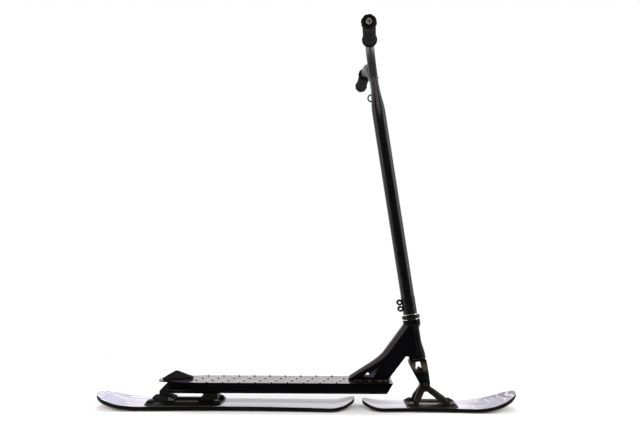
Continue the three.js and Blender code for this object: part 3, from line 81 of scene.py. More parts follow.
DECK = {
    "top": 72.6, "height": 27.6, "width": 114, "tail": -382, "nose": 224, "slant": 16.5, "box_tail": -353,
    "wall": 3, "top_wall": 3.6, "ribs": 2, "chamfer": 5, "taper_x": -268, "tail_half": 31, "corner": 16,
    "groove": 1.2, "groove_depth": 0.6, "groove_drop": 6, "round": 0.7,
}
DECK_SHARES = {"corner": 0.3, "flank_run": 0.62, "flank_width": 0.78}
STUD = {
    "radius": 3.8, "height": 3.3, "foot": 0.6, "flat": 1.5, "dimple": 0.5, "pitch": 41.3,
    "inner": 17, "outer": 47.5, "first": -249.5,
}
STUD_ROWS = {
    "near_outer": {"side": -1, "gauge": "outer", "start_share": 0, "count": 9},
    "near_inner": {"side": -1, "gauge": "inner", "start_share": 0.78, "count": 10},
    "far_inner": {"side": 1, "gauge": "inner", "start_share": 0.55, "count": 10},
    "far_outer": {"side": 1, "gauge": "outer", "start_share": 0.32, "count": 9},
}

NECK = {
    "half": 21, "chamfer": 10, "toe": 114, "toe_rise": 9, "bend_x": 206, "bend_z": 150, "top_x": 255,
    "top_z": 217, "front_x": 259, "front_z": 136, "foot": 211.5, "round": 0.8,
}
NECK_SHARES = {"toe_reach": 0.45, "bend_reach": 0.25, "toe_slope": 0.67, "toe_chamfer": 0.35}
POCKET = {"tail": 150, "nose": 177, "floor": 81.5, "peak_x": 191, "peak_z": 111, "depth": 12}
OPENING = {"tail": 150, "nose": 167, "floor": 84.5, "peak_x": 162, "peak_z": 95.5}
STOP = {
    "tail": -368, "nose": -295.5, "shoulder": -352, "crest": -341.5, "crest_run": 6, "crest_half": 5,
    "height": 21, "heel_rise": 6, "toe_rise": 5, "tail_half": 33, "nose_half": 11, "round": 1.4,
}
STOP_TAIL_SHARE = 0.85
TUBE = {
    "bottom": 135.6, "top": 231.8, "top_r": 22.3, "bottom_r": 21.8, "waist_r": 16.9, "collar": 11,
    "foot": 5, "waist_low": 172, "waist_high": 206, "bore": 15.4, "lip": 0.8,
}
NECK_WELD = {"radius": 2.9, "ripple": 3.4}
TUBE_WELD = {"radius": 2.32, "ripple": 3, "start": 6, "end_s": 214, "u": 0.8, "proud": 0.6}
HEAD_WELD = {"radius": 1.8, "ripple": 2.6}
RIPPLE_SHARE = 0.82
RIPPLE_POWER = 0.6
BEARING = {"radius": 20.2, "height": 7}
RACE = {"radius": 22.2, "bore": 15, "foot": 129, "height": 5.6, "round": 1.2}
HEADSET = {
    "ring": 22, "ring_height": 2.6, "cover": 23.35, "cover_height": 9, "round": 3, "spacer": 19.6,
    "spacer_height": 2.6, "bevel": 0.5,
}
STEERER = 14.3

BAR = {
    "radius": 17.45, "wall": 1.6, "foot_gap": 0.4, "lip": 1, "hollow": 120, "lead": 6, "yoke": 776,
    "flat": 846, "top": 864, "half_depth": 11.1, "half_width": 27, "slot": 3, "slot_height": 52,
    "crease": 0.9, "crease_half": 1.7,
}
OVAL_POWER = 2.6
WING = {
    "radius": 11.1, "wall": 2, "start_y": 11.4, "angle": math.radians(45), "bend": 85, "rise": 55,
    "level": 51.4, "sweep": math.radians(3.2),
}
GRIP = {
    "length": 131, "body": 14.9, "flange": 18.2, "flange_width": 3.4, "collar_width": 13, "collar": 16.8,
    "crown": 1, "blend": 2, "lip": 1, "scallops": 8, "scallop": 1.1, "rib_pitch": 3.1, "rib": 0.55,
}
PLUG = {"radius": 13, "width": 3, "chamfer": 1, "recess": 1.2, "recess_radius": 8.6, "dot": 0.85, "stem": 18}
# Each ring of dots by its radius and count
PLUG_DOT_RINGS = [(2.9, 6), (6.2, 12)]
CLAMP = {
    "height": 44, "wall": 0.5, "slit": 4, "boss_u": -23.6, "boss": 7.6, "boss_neck": 10.6, "boss_low": 16.6,
    "boss_high": 33.4, "boss_half": 8.6, "head": 3, "head_height": 3, "socket": 1, "shank": 2.6, "round": 0.2,
}
LOOP = {"wire": 1.9, "reach": 7.8, "half": 9, "s": 816}
LOOP_BOW_SHARE = 0.8

BLOCK_BOLT = {
    "x": -346, "z": 22.3, "half": 26, "head": 9.2, "width": 4, "round": 3.2, "socket": 2.4, "shank": 2.4,
    "nut": 4.2, "nut_width": 4, "nut_round": 0.5,
}
CROSS_BOLTS = {
    "axle_bolt": {"u": 8.4, "s": 66.4, "shank": 4, "head": 6.6, "height": 5, "socket": 2.6, "tail": 5.8},
    "lock_bolt": {"u": 0.8, "s": 101.5, "shank": 3, "head": 5, "height": 3.4, "socket": 2, "tail": 3.9},
}
FORK_HALF = 22
CROWN_CUT = {"back": -34, "face": -21.4, "low": 112, "bend": 128, "roof": 140}
UPRIGHT_TOP = {"floor": 100, "dome": 5.6, "reach": 60}

# Copies of solids: node, piece, body, slot, look and the width of the rounding on its edges
SHELLS = [
    ("rear_mount_plate", "rear_plate_shell", "frame", "nylon", "nylon", 0.7),
    ("front_mount_plate", "front_plate_shell", "steering", "nylon", "front_nylon", 0.6),
    ("rear_adaptor", "rear_adaptor_shell", "frame", "nylon", "nylon", 1),
    ("front_adaptor", "front_adaptor_shell", "steering", "nylon", "front_nylon", 1.2),
    ("rear_block", "heel_block_shell", "frame", "rubber_green", "rubber_green", 1.2),
    ("fork", "fork_shell", "steering", "black_paint", "fork_paint", 1),
]
DARK_NODES = ("compression_cap", "crown_race", "compression_ring", "axle_nut")

# Where painted highlights, painted reflections and printed tones begin and how softly they end
TONE_BANDS = {
    "fork_low": 92, "fork_high": 126, "fork_fade": 16, "head_low": 740, "head_high": 800, "neck_reflection_fade": 16,
    "recess_half": 10, "recess_fade": 1, "tan_inset": 11, "tan_half": 22, "tan_fade": 4,
}
NOISE_SHARES = (0.3, 0.7)
PATCH_SCALE = 14
SMEAR_SCALE = 90
PRINT_TONES = {"ground": (202, 200, 218), "streak": (232, 228, 238), "patch": (128, 100, 76)}
PRINTS = {
    "rear": {"start": -400, "end": -470, "bands": "Y", "stretch_shares": (0.1, 1, 0.1),
             "shadow": (160, 158, 184), "stroke": (250, 240, 242)},
    "front": {"start": 385, "end": 470, "bands": "X", "stretch_shares": (1, 0.8, 0.2),
              "shadow": (84, 84, 110), "stroke": (206, 188, 180)},
}

WHITE = (1, 1, 1, 1)
FLOOR = {"far": 6000, "front": 450, "drop": 0.4, "fade_start": 750, "fade_end": 1150}
FLOOR_TONE_SHARE = 0.9
FLOOR_LIFT_SHARE = 0.07
# The world's brightness in reflections, from the camera's side to behind the object, and in soft light
WORLD_SHARES = {"near": -0.6, "far": 0.4, "near_light": 0.02, "far_light": 0.95, "soft_light": 0.45}
LAMPS = {
    "overhead": {"place": (0, 1200, 2400), "target": (0, 0, 100), "size": (3200, 1600), "power": 50,
                 "mirrored": False},
    "front_fill": {"place": (0, -2400, 1300), "target": (0, 0, 0), "size": (4000, 1000), "power": 105,
                   "mirrored": False},
    "left_softbox": {"place": (-2200, -600, 1200), "target": (0, 0, 400), "size": (1200, 1800), "power": 11,
                     "mirrored": True},
    "right_softbox": {"place": (2400, -400, 1200), "target": (200, 0, 400), "size": (1200, 1800), "power": 17,
                      "mirrored": True},
}

# The picture is 640 by 427, and its horizon lies below its centre
PICTURE_WIDTH = 640
CAMERA = {
    "x": 89.8, "y": -1786, "z": 383.4, "yaw": math.radians(1.67), "focal_px": 685.7, "sensor": 36,
    "off_y": 46.6, "clip": 50,
}


def lerp(a, b, share):
    return a + (b - a) * share


def smoothstep(x, low, high):
    share = min(1, max(0, (x - low) / (high - low)))
    return share * share * (3 - 2 * share)


def arc(x, z, radius, start, end, steps):
    angles = [math.radians(lerp(start, end, i / steps)) for i in range(steps + 1)]
    return [(x + radius * math.cos(a), z + radius * math.sin(a)) for a in angles]


def polygon(radius, sides):
    """The corners of a regular polygon, the first of them on the first axis."""
    return arc(0, 0, radius, 0, 360 * (sides - 1) / sides, sides - 1)


def rect(low_x, high_x, low_z, high_z):
    return [(low_x, low_z), (high_x, low_z), (high_x, high_z), (low_x, high_z)]


def shade(mesh, angle=SMOOTH_ANGLE):
    mesh.shade_smooth()
    mesh.set_sharp_from_angle(angle=math.radians(angle))


def place_mesh(name, mesh, solid=None, angle=SMOOTH_ANGLE):
    """Puts a mesh into the scene as a piece, filled from an editable solid if one is given."""
    if solid:
        solid.to_mesh(mesh)
        solid.free()
    shade(mesh, angle)
    piece = bpy.data.objects.new(name, mesh)
    bpy.context.scene.collection.objects.link(piece)
    return piece


def make(name, points, faces, place=UPRIGHT, angle=SMOOTH_ANGLE):
    """A mesh from points in millimetres, carried to its place, with its faces turned outwards."""
    mesh = bpy.data.meshes.new(name)
    mesh.from_pydata([place @ (Vector(p) * MM) for p in points], [], faces)
    solid = bmesh.new()
    solid.from_mesh(mesh)
    bmesh.ops.remove_doubles(solid, verts=solid.verts, dist=MERGE * MM)
    bmesh.ops.recalc_face_normals(solid, faces=solid.faces)
    return place_mesh(name, mesh, solid, angle)


def loft(name, rings, place=UPRIGHT, looped=False, angle=SMOOTH_ANGLE):
    """A skin through rings of equal counts, closed by end caps or by joining the last ring to the first."""
    count = len(rings[0])
    faces = []
    spans = len(rings) if looped else len(rings) - 1
    for r in range(spans):
        a, b = r * count, ((r + 1) % len(rings)) * count
        faces += [(a + i, a + (i + 1) % count, b + (i + 1) % count, b + i) for i in range(count)]
    if not looped:
        faces.append(tuple(range(count)))
        faces.append(tuple((len(rings) - 1) * count + i for i in range(count)))
    return make(name, [p for ring in rings for p in ring], faces, place, angle)


def turned(name, outline, place=UPRIGHT, sides=64):
    """A turned piece about its own Z from a closed outline of (radius, height) points."""
    rings = []
    for k in range(sides):
        turn = 2 * math.pi * k / sides
        rings.append([(r * math.cos(turn), r * math.sin(turn), z) for r, z in outline])
    return loft(name, rings, place, looped=True)


def prism(name, points, axis, start, end, place=UPRIGHT):
    """A flat outline run along one axis: "x" takes (y, z) points, "y" (x, z), and "z" (x, y)."""
    order = {"x": lambda p, d: (d, p[0], p[1]),
             "y": lambda p, d: (p[0], d, p[1]),
             "z": lambda p, d: (p[0], p[1], d)}[axis]
    return loft(name, [[order(p, d) for p in points] for d in (start, end)], place)


def gather(name, pieces):
    """One piece made of several, which are then gone."""
    solid = bmesh.new()
    for piece in pieces:
        solid.from_mesh(piece.data)
        bpy.data.objects.remove(piece)
    return place_mesh(name, bpy.data.meshes.new(name), solid)


def carve(piece, others, operation="DIFFERENCE"):
    """Cuts, joins or crosses one piece with others, which are then gone."""
    for other in others:
        step = piece.modifiers.new("carve", "BOOLEAN")
        step.operation = operation
        step.object = other
        step.solver = "EXACT"
    graph = bpy.context.evaluated_depsgraph_get()
    mesh = bpy.data.meshes.new_from_object(piece.evaluated_get(graph))
    piece.modifiers.clear()
    piece.data = mesh
    for other in others:
        bpy.data.objects.remove(other)
    shade(mesh)
    return piece


def soften(piece, width, segments=3):
    """Rounds a piece's edges by a small radius in millimetres."""
    bevel = piece.modifiers.new("soften", "BEVEL")
    bevel.width = width * MM
    bevel.segments = segments
    bevel.limit_method = "ANGLE"
    bevel.angle_limit = math.radians(BEVEL_ANGLE)
    bevel.harden_normals = True
    bevel.use_clamp_overlap = True
    return piece


def merge_flat(solid):
    """Merges neighbouring faces that lie in one plane."""
    bmesh.ops.dissolve_limit(solid, angle_limit=math.radians(FLAT_ANGLE), verts=solid.verts,
                             edges=solid.edges)


def dressed(name, node, width):
    """A copy of a solid with flat faces merged and its edges rounded."""
    mesh = bpy.data.meshes.new(name)
    solid = bmesh.new()
    solid.from_mesh(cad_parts[node].data)
    bmesh.ops.remove_doubles(solid, verts=solid.verts, dist=COPY_MERGE * MM)
    merge_flat(solid)
    bmesh.ops.recalc_face_normals(solid, faces=solid.faces)
    solid.verts.index_update()
    points = [v.co.copy() for v in solid.verts]
    faces = [[v.index for v in f.verts] for f in solid.faces]
    solid.free()
    mesh.from_pydata(points, [], faces)
    return soften(place_mesh(name, mesh), width)


# Materials
def linear(r, g, b):
    """A colour given in 0 to 255 as a screen shows it, turned into linear light."""
    return [((c / 255 + 0.055) / 1.055) ** 2.4 if c > 10 else c / 255 / 12.92 for c in (r, g, b)] + [1]


class Tree:
    """A node tree, built up one node at a time."""

    def __init__(self, owner):
        owner.use_nodes = True
        self.nodes = owner.node_tree.nodes
        self.links = owner.node_tree.links

    def put(self, socket, value):
        """Joins a socket to an output, or gives it a plain value."""
        if isinstance(value, bpy.types.NodeSocket):
            self.links.new(value, socket)
        else:
            socket.default_value = value

    def node(self, kind, **values):
        node = self.nodes.new(f"ShaderNode{kind}")
        for socket, value in values.items():
            self.put(node.inputs[socket.replace("_", " ").title()], value)
        return node

    def split(self, vector, axis):
        return self.node("SeparateXYZ", vector=vector).outputs[axis]

    def spread(self, value, low, high, start=0, end=1, curve="SMOOTHSTEP"):
        span = self.node("MapRange", value=value, from_min=low, from_max=high, to_min=start, to_max=end)
        span.interpolation_type = curve
        return span.outputs["Result"]

    def maths(self, operation, one, two=0):
        maths = self.nodes.new("ShaderNodeMath")
        maths.operation = operation
        for socket, value in zip(maths.inputs, (one, two)):
            self.put(socket, value)
        return maths.outputs["Value"]

    def show(self, share, one, two, output):
        """Shows the first of two shaders at a share of 0 and the second at 1."""
        mix = self.nodes.new("ShaderNodeMixShader")
        for socket, value in zip(mix.inputs, (share, one.outputs[0], two.outputs[0])):
            self.put(socket, value)
        self.put(self.nodes[output].inputs["Surface"], mix.outputs[0])


class Surface(Tree):
    """A procedural material."""

    def __init__(self, name, **sockets):
        self.material = bpy.data.materials.new(name)
        super().__init__(self.material)
        self.shader = self.nodes["Principled BSDF"]
        self.coords = self.nodes.new("ShaderNodeTexCoord").outputs["Object"]
        for socket, value in sockets.items():
            self.put(self.shader.inputs[socket.replace("_", " ").title().replace("Ior", "IOR")], value)

    def stretched(self, x, y, z):
        return self.node("Mapping", vector=self.coords, scale=(x, y, z)).outputs["Vector"]

    def noise(self, scale, detail=3, vector=None):
        return self.node("TexNoise", vector=vector or self.coords, scale=scale, detail=detail).outputs["Fac"]

    def along(self, axis):
        return self.split(self.coords, axis)

    def off_centre(self):
        return self.maths("ABSOLUTE", self.along("Y"))

    def band(self, axis, low, high, fade):
        """1 between two places along an axis, with a soft step inside each."""
        place, low, high, fade = self.along(axis), low * MM, high * MM, fade * MM
        rise = self.spread(place, low, low + fade)
        return self.maths("MULTIPLY", rise, self.spread(place, high - fade, high, 1, 0))

    def facing(self, axis):
        return self.split(self.nodes.new("ShaderNodeNewGeometry").outputs["Normal"], axis)

    def upwards(self, low, high):
        """1 on faces that look up, 0 on the others."""
        return self.spread(self.facing("Z"), low, high)

    def sideways(self, low, high):
        """1 on faces that look to either side, 0 on the others."""
        return self.spread(self.maths("ABSOLUTE", self.facing("Y")), low, high)

    def blend(self, share, one, two):
        mix = self.nodes.new("ShaderNodeMix")
        mix.data_type = "RGBA"
        for socket, value in ((mix.inputs["Factor"], share), (mix.inputs[6], one), (mix.inputs[7], two)):
            self.put(socket, value)
        return mix.outputs[2]

    def tones(self, value, dark, light, low=NOISE_SHARES[0], high=NOISE_SHARES[1]):
        """Two tones that follow a map."""
        return self.blend(self.spread(value, low, high), linear(*dark), linear(*light))

    def finish(self, tone, relief, height, wear=None, rough=None):
        """Sets the colour, the relief and, where it varies, the roughness."""
        strength, depth = relief
        bump = self.node("Bump", strength=strength, distance=depth * MM, height=height)
        self.put(self.shader.inputs["Normal"], bump.outputs["Normal"])
        self.put(self.shader.inputs["Base Color"], tone)
        if rough:
            self.put(self.shader.inputs["Roughness"], self.spread(wear, *NOISE_SHARES, *rough))
        return self.material


def coated(name, dark, light, metallic, rough, grain, relief, **sockets):
    """A painted, moulded or anodised finish: soft patches of two tones under a fine grain."""
    surface = Surface(name, metallic=metallic, **sockets)
    tone = surface.tones(surface.noise(PATCH_SCALE), dark, light)
    return surface.finish(tone, relief, surface.noise(grain, 2), surface.noise(SMEAR_SCALE), rough)


def brushed(name, dark, light, stretch, rough):
    """Bare metal with fine lines along one way."""
    surface = Surface(name, metallic=1)
    lines = surface.noise(40, 6, surface.stretched(*stretch))
    return surface.finish(surface.tones(lines, dark, light), (0.12, 0.05), lines, lines, rough)


def ski_top(word):
    """Clear topsheet over a pale ground with soft lengthwise stripes. The ground darkens towards one
    tip under sparse strokes, and a tan patch lies under the plate."""
    form, plate = PRINTS[word], PLATES[word]
    surface = Surface(f"{word}_topsheet_print", roughness=0.1, specular_ior_level=0.8)
    ground = linear(*PRINT_TONES["ground"])
    lines = surface.noise(22, 3, surface.stretched(0.06, 1, 0.06))
    plain = surface.tones(lines, PRINT_TONES["ground"], PRINT_TONES["streak"], 0.46, 0.62)
    near_tip = surface.spread(surface.along("X"), form["start"] * MM, form["end"] * MM)
    mist = surface.spread(surface.noise(12), 0.3, 0.75, 0, 0.75)
    colour = surface.blend(near_tip, plain, surface.blend(mist, linear(*form["shadow"]), ground))
    curl = surface.node("TexWave", vector=surface.stretched(*form["stretch_shares"]), scale=15, distortion=9,
                        detail=1.5, detail_scale=1.1)
    curl.bands_direction = form["bands"]
    strokes = surface.spread(curl.outputs["Fac"], 0.76, 0.88)
    sparse = surface.spread(surface.noise(16, 2), 0.42, 0.5)
    inked = surface.maths("MULTIPLY", near_tip, surface.maths("MULTIPLY", strokes, sparse))
    colour = surface.blend(inked, colour, linear(*form["stroke"]))
    under = surface.band("X", plate["start"] + TONE_BANDS["tan_inset"], plate["end"] - TONE_BANDS["tan_inset"],
                         TONE_BANDS["tan_fade"])
    half, fade = TONE_BANDS["tan_half"] * MM, TONE_BANDS["tan_fade"] * MM
    middle = surface.spread(surface.off_centre(), half - fade, half, 1, 0)
    colour = surface.blend(surface.maths("MULTIPLY", under, middle), colour, linear(*PRINT_TONES["patch"]))
    tone = surface.blend(surface.upwards(0.5, 0.8), linear(5, 5, 4), colour)
    return surface.finish(tone, (0.04, 0.03), surface.noise(320, 2))


def deck_finish():
    """Anodised extrusion: fine lengthwise lines, and a top painted paler as a reflection of light from above,
    up to the neck's toe; beyond it a darker painted reflection of the black neck.
    """
    surface = Surface("anodised_deck", metallic=0.85, specular_ior_level=0.1)
    lines = surface.noise(30, 5, surface.stretched(0.25, 12, 12))
    # Painted reflection: the top's paler tone stands in for light from above mirrored in the anodised top.
    painted_sheen = surface.tones(surface.noise(11, 4), (112, 104, 116), (132, 124, 134), 0.42, 0.68)
    toe = NECK["toe"] * MM
    # Painted reflection: from the neck's toe forwards the top is darker, where the black neck is mirrored in
    # it.
    beside_neck = surface.spread(surface.along("X"), toe, toe + TONE_BANDS["neck_reflection_fade"] * MM)
    top = surface.blend(beside_neck, painted_sheen, linear(40, 37, 41))
    tone = surface.blend(surface.upwards(0.7, 0.95), linear(3, 3, 4), top)
    return surface.finish(tone, (0.06, 0.03), lines, lines, (0.09, 0.15))


def frame_finish():
    """Satin black frame paint, greyer on faces that look up by a painted highlight, and bluish in the neck's
    recesses.
    """
    surface = Surface("satin_black_neck", specular_ior_level=0.04)
    flank = surface.tones(surface.noise(PATCH_SCALE), (3, 3, 4), (6, 6, 8))
    recess = TONE_BANDS["recess_half"] * MM
    sunk = surface.spread(surface.off_centre(), recess, recess + TONE_BANDS["recess_fade"] * MM, 1, 0)
    sunk = surface.maths("MULTIPLY", sunk, surface.sideways(0.7, 0.9))
    flank = surface.blend(sunk, flank, linear(60, 58, 70))
    # Painted highlight: the grey on faces that look up stands in for light from above.
    upper = surface.blend(surface.noise(20), linear(38, 36, 39), linear(54, 50, 50))
    tone = surface.blend(surface.upwards(0.12, 0.42), flank, upper)
    return surface.finish(tone, (0.1, 0.05), surface.noise(600, 2), surface.noise(SMEAR_SCALE), (0.3, 0.4))


def fork_finish():
    """Satin black paint, with a brown-grey painted highlight on the crown's flanks beside the window."""
    surface = Surface("satin_black_fork", specular_ior_level=0.06)
    plain = surface.tones(surface.noise(PATCH_SCALE), (4, 4, 4), (8, 8, 8))
    # Painted highlight: the brown grey on the crown's flanks stands in for light caught there.
    painted_sheen = surface.blend(surface.noise(40), linear(46, 41, 35), linear(68, 61, 51))
    beside_window = surface.band("Z", TONE_BANDS["fork_low"], TONE_BANDS["fork_high"], TONE_BANDS["fork_fade"])
    tone = surface.blend(beside_window, plain, painted_sheen)
    return surface.finish(tone, (0.08, 0.04), surface.noise(700, 2), surface.noise(SMEAR_SCALE), (0.26, 0.34))


def bar_finish():
    """Satin black paint, with a painted highlight that turns the flats of the bar's pinched head greyer."""
    surface = Surface("satin_black_bar", specular_ior_level=0.4)
    plain = surface.tones(surface.noise(PATCH_SCALE), (5, 5, 5), (9, 8, 8))
    # Painted highlight: the grey on the head's flats stands in for light catching them.
    rise = surface.spread(surface.along("Z"), TONE_BANDS["head_low"] * MM, TONE_BANDS["head_high"] * MM)
    head = surface.maths("MULTIPLY", surface.sideways(0.93, 0.985), rise)
    tone = surface.blend(head, plain, linear(62, 55, 58))
    return surface.finish(tone, (0.08, 0.04), surface.noise(700, 2), surface.noise(SMEAR_SCALE), (0.26, 0.34))


def weld_finish():
    """Painted weld, with bronze flecks that are painted glints of light on its ripples."""
    surface = Surface("weld_bead", metallic=0.6)
    # Painted glints: the bronze flecks stand in for light caught by the bead's ripples.
    tone = surface.tones(surface.noise(210), (10, 8, 7), (96, 86, 72), 0.48, 0.62)
    return surface.finish(tone, (0.2, 0.08), surface.noise(900, 2), surface.noise(150), (0.32, 0.5))


def rubber_finish(name, dark, light, cell, depth):
    """Moulded rubber with a fine pebbled skin."""
    surface = Surface(name, specular_ior_level=0.1)
    tone = surface.tones(surface.noise(35, 4), dark, light, 0.35, 0.65)
    cells = surface.node("TexVoronoi", vector=surface.coords, scale=cell).outputs["Distance"]
    return surface.finish(tone, (0.5, depth), cells, surface.noise(200), (0.58, 0.78))


def side_wall():
    """Black side wall with faint lengthwise scuffs."""
    surface = Surface("ski_side_wall", specular_ior_level=0.12)
    scuffs = surface.noise(24, 6, surface.stretched(0.4, 1, 6))
    tone = surface.tones(scuffs, (5, 5, 4), (22, 20, 17), 0.5, 0.8)
    return surface.finish(tone, (0.15, 0.05), scuffs, scuffs, (0.36, 0.55))


looks = {
    "black_paint": coated("satin_black_paint", (5, 5, 5), (9, 8, 8), 0, (0.26, 0.34), 700, (0.08, 0.04),
                          specular_ior_level=0.3),
    "deck_paint": coated("satin_black_frame", (4, 4, 5), (7, 7, 9), 0, (0.24, 0.32), 600, (0.1, 0.05),
                         specular_ior_level=0.07),
    "deck": deck_finish(),
    "black_anodised": coated("black_anodised_metal", (8, 7, 8), (16, 15, 17), 0.6, (0.24, 0.34), 900,
                             (0.06, 0.02)),
    "black_gloss": coated("glossy_black_metal", (4, 4, 4), (8, 8, 8), 0, (0.08, 0.14), 700, (0.03, 0.02),
                          specular_ior_level=0.8),
    "nylon": coated("black_moulded_plastic", (7, 7, 6), (13, 12, 11), 0, (0.36, 0.48), 420, (0.14, 0.05),
                    specular_ior_level=0.1),
    "front_nylon": coated("front_moulded_plastic", (17, 16, 14), (28, 26, 22), 0, (0.36, 0.48), 420,
                          (0.14, 0.05), specular_ior_level=0.1),
    "rubber": rubber_finish("grip_rubber", (14, 11, 10), (24, 20, 18), 900, 0.12),
    "stop_rubber": rubber_finish("foot_stop_rubber", (6, 5, 4), (14, 11, 9), 500, 0.2),
    "rubber_green": rubber_finish("heel_block_rubber", (12, 15, 14), (24, 28, 26), 420, 0.15),
    "steel": brushed("plain_steel", (118, 114, 108), (168, 164, 157), (1, 1, 14), (0.28, 0.42)),
    # Painted shade: the edge steel is darker than bare steel, standing in for its dark reflection at the
    # ski's foot.
    "edge": brushed("ski_edge_steel", (84, 78, 72), (132, 124, 114), (0.5, 10, 10), (0.3, 0.45)),
    "chrome": brushed("bright_plating", (214, 206, 192), (244, 238, 226), (1, 1, 4), (0.1, 0.2)),
    "neck_paint": frame_finish(),
    "fork_paint": fork_finish(),
    "bar_paint": bar_finish(),
    # Painted reflection: the clamp screws' near-white tone stands in for the white surroundings mirrored in
    # their silver heads.
    "bright": coated("bolt_plating_painted_reflection", (232, 230, 224), (250, 248, 242), 0.2, (0.3, 0.4), 500,
                     (0.04, 0.02)),
    "weld": weld_finish(),
    "core": side_wall(),
    "base": coated("ski_base_plastic", (120, 110, 100), (150, 140, 128), 0, (0.3, 0.42), 260, (0.05, 0.03)),
    "rear_top": ski_top("rear"),
    "front_top": ski_top("front"),
    "dots": coated("pale_inlay", (176, 168, 146), (206, 198, 176), 0, (0.4, 0.5), 500, (0.05, 0.02)),
}


def dress(piece, body, slot, look, *nodes):
    piece.data.materials.clear()
    piece.data.materials.append(looks[look])
    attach(piece, body)
    if nodes:
        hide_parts(*nodes)
    return piece


# Skis
def ski_stations(form, tip_steps=26, middle_steps=48):
    """Places along a ski with the half width there: a squared round at each tip and a hollow flank."""
    def tip(word, outwards, i):
        turn = TIP_TURN * i / tip_steps
        run = (math.sin(turn) / math.sin(TIP_TURN)) ** (2 / TIP_POWER)
        half = form[f"{word}_half"] * math.cos(turn) ** (2 / TIP_POWER)
        return form[word] - outwards * form[f"{word}_round"] * (1 - run), max(half, LEAST_HALF)

    low, high = form["tail"] + form["tail_round"], form["nose"] - form["nose_round"]
    middle = []
    for i in range(middle_steps + 1):
        x = lerp(low, high, i / middle_steps)
        end, half = (low, form["tail_half"]) if x < form["waist_x"] else (high, form["nose_half"])
        share = (x - form["waist_x"]) / (end - form["waist_x"])
        middle.append((x, lerp(form["waist"], half, share * share)))
    tail = [tip("tail", -1, i) for i in range(tip_steps, 0, -1)]
    return tail + middle + [tip("nose", 1, i) for i in range(1, tip_steps + 1)]


def ski_heights(form, x):
    tail = max(0, (form["tail"] + form["tail_run"] - x) / form["tail_run"])
    nose = max(0, (x - form["nose"] + form["nose_run"]) / form["nose_run"])
    low = form["tail_rise"] * tail * tail + form["nose_rise"] * nose * nose
    end = form["tail"] if x < form["mount_x"] else form["nose"]
    share = (x - form["mount_x"]) / (end - form["mount_x"])
    return low, low + lerp(form["thick"], form["tip_thick"], share * share)


def make_ski(word, form, body):
    stations = ski_stations(form)
    beside = EDGE["width"] + GAP

    def core(half, low, high):
        lean = min(WALL_LEAN, half / 3)
        foot, top = low + EDGE["height"] + GAP, high - TOPSHEET - GAP
        return [(-half, foot), (half, foot), (half - lean, top), (lean - half, top)]

    def sheet(half, low, high):
        wide = half - min(WALL_LEAN, half / 3) - min(TOPSHEET_INSET, half / 4)
        bottom, shoulder = high - TOPSHEET, TOPSHEET / 3
        return [(-wide, bottom), (wide, bottom), (wide, high - shoulder), (wide - shoulder, high),
                (shoulder - wide, high), (-wide, high - shoulder)]

    def sole(half, low, high):
        return rect(beside - half, half - beside, low, low + BASE_HEIGHT)

    def left_edge(half, low, high):
        return rect(half - EDGE["width"], half, low, low + EDGE["height"])

    def right_edge(half, low, high):
        return rect(EDGE["width"] - half, -half, low, low + EDGE["height"])

    def layer(piece, node, slot, look, least_half, section):
        rings = [[(x, y, z) for y, z in section(half, *ski_heights(form, x))]
                 for x, half in stations if half > least_half]
        dress(loft(f"{word}_ski_{piece}", rings), body, slot, look, f"{word}_ski_{node}")

    layer("core", "body", "ski_core", "core", 0, core)
    layer("sheet", "topsheet", "ski_top", f"{word}_top", 0, sheet)
    layer("sole", "base", "ski_base", "base", 3 * beside, sole)
    for side, section in (("left", left_edge), ("right", right_edge)):
        layer(f"steel_{side}", f"edge_{side}", "ski_edge", "edge", form["waist"] * EDGE_SHARE, section)


# Screws and bolts
def socket_head(name, outline, socket, depth_from, depth_to, place, sides=32):
    """A turned screw with a six-sided socket cut into its head."""
    piece = turned(name, outline, place, sides)
    return carve(piece, [prism("socket", polygon(socket, 6), "z", depth_from, depth_to, place)])


def make_plate_screws(word, body):
    plate = PLATES[word]
    top = plate["ski"]["thick"]
    seat = top + GAP + plate["boss_height"] + GAP
    head, height, chamfer = SCREW["head"], SCREW["height"], SCREW["chamfer"]
    outline = [(0, top - SCREW["grip"]), (SCREW["shank"], top - SCREW["grip"]), (SCREW["shank"], seat),
               (head, seat), *arc(head - chamfer, seat + height - chamfer, chamfer, 0, 90, 4),
               (0, seat + height)]
    ends = (plate["start"] + plate["inset"], plate["end"] - plate["inset"])
    places = [(x, y) for x in ends for y in (-SCREW["gauge"], SCREW["gauge"])]
    for i, (x, y) in enumerate(places):
        screw = socket_head(f"{word}_plate_screw_{i + 1}", outline, SCREW["socket"], seat + height / 4,
                            seat + 2 * height, Matrix.Translation((x * MM, y * MM, 0)))
        dress(screw, body, "chrome", "steel", f"{word}_ski_screw_{i + 1}")


def across(u, s, place):
    """A place whose own Z runs across the scooter, from the near side to the far side."""
    return place @ Matrix.Translation((u * MM, 0, s * MM)) @ Matrix.Rotation(-math.pi / 2, 4, "X")


def make_fork_bolts():
    half = FORK_HALF + GAP
    for name, bolt in CROSS_BOLTS.items():
        head, shank, end = bolt["head"], bolt["shank"], half + bolt["tail"]
        face, chamfer = -half - bolt["height"], bolt["height"] / 4
        outline = [(0, face), (head - chamfer, face),
                   *arc(head - chamfer, face + chamfer, chamfer, -90, 0, 4),
                   (head, -half), (shank, -half), (shank, end), (0, end)]
        piece = socket_head(f"fork_{name}", outline, bolt["socket"], face - bolt["height"],
                            face + bolt["height"] / 2, across(bolt["u"], bolt["s"], STEERED))
        dress(piece, "steering", "black_anodised", "black_anodised", name)


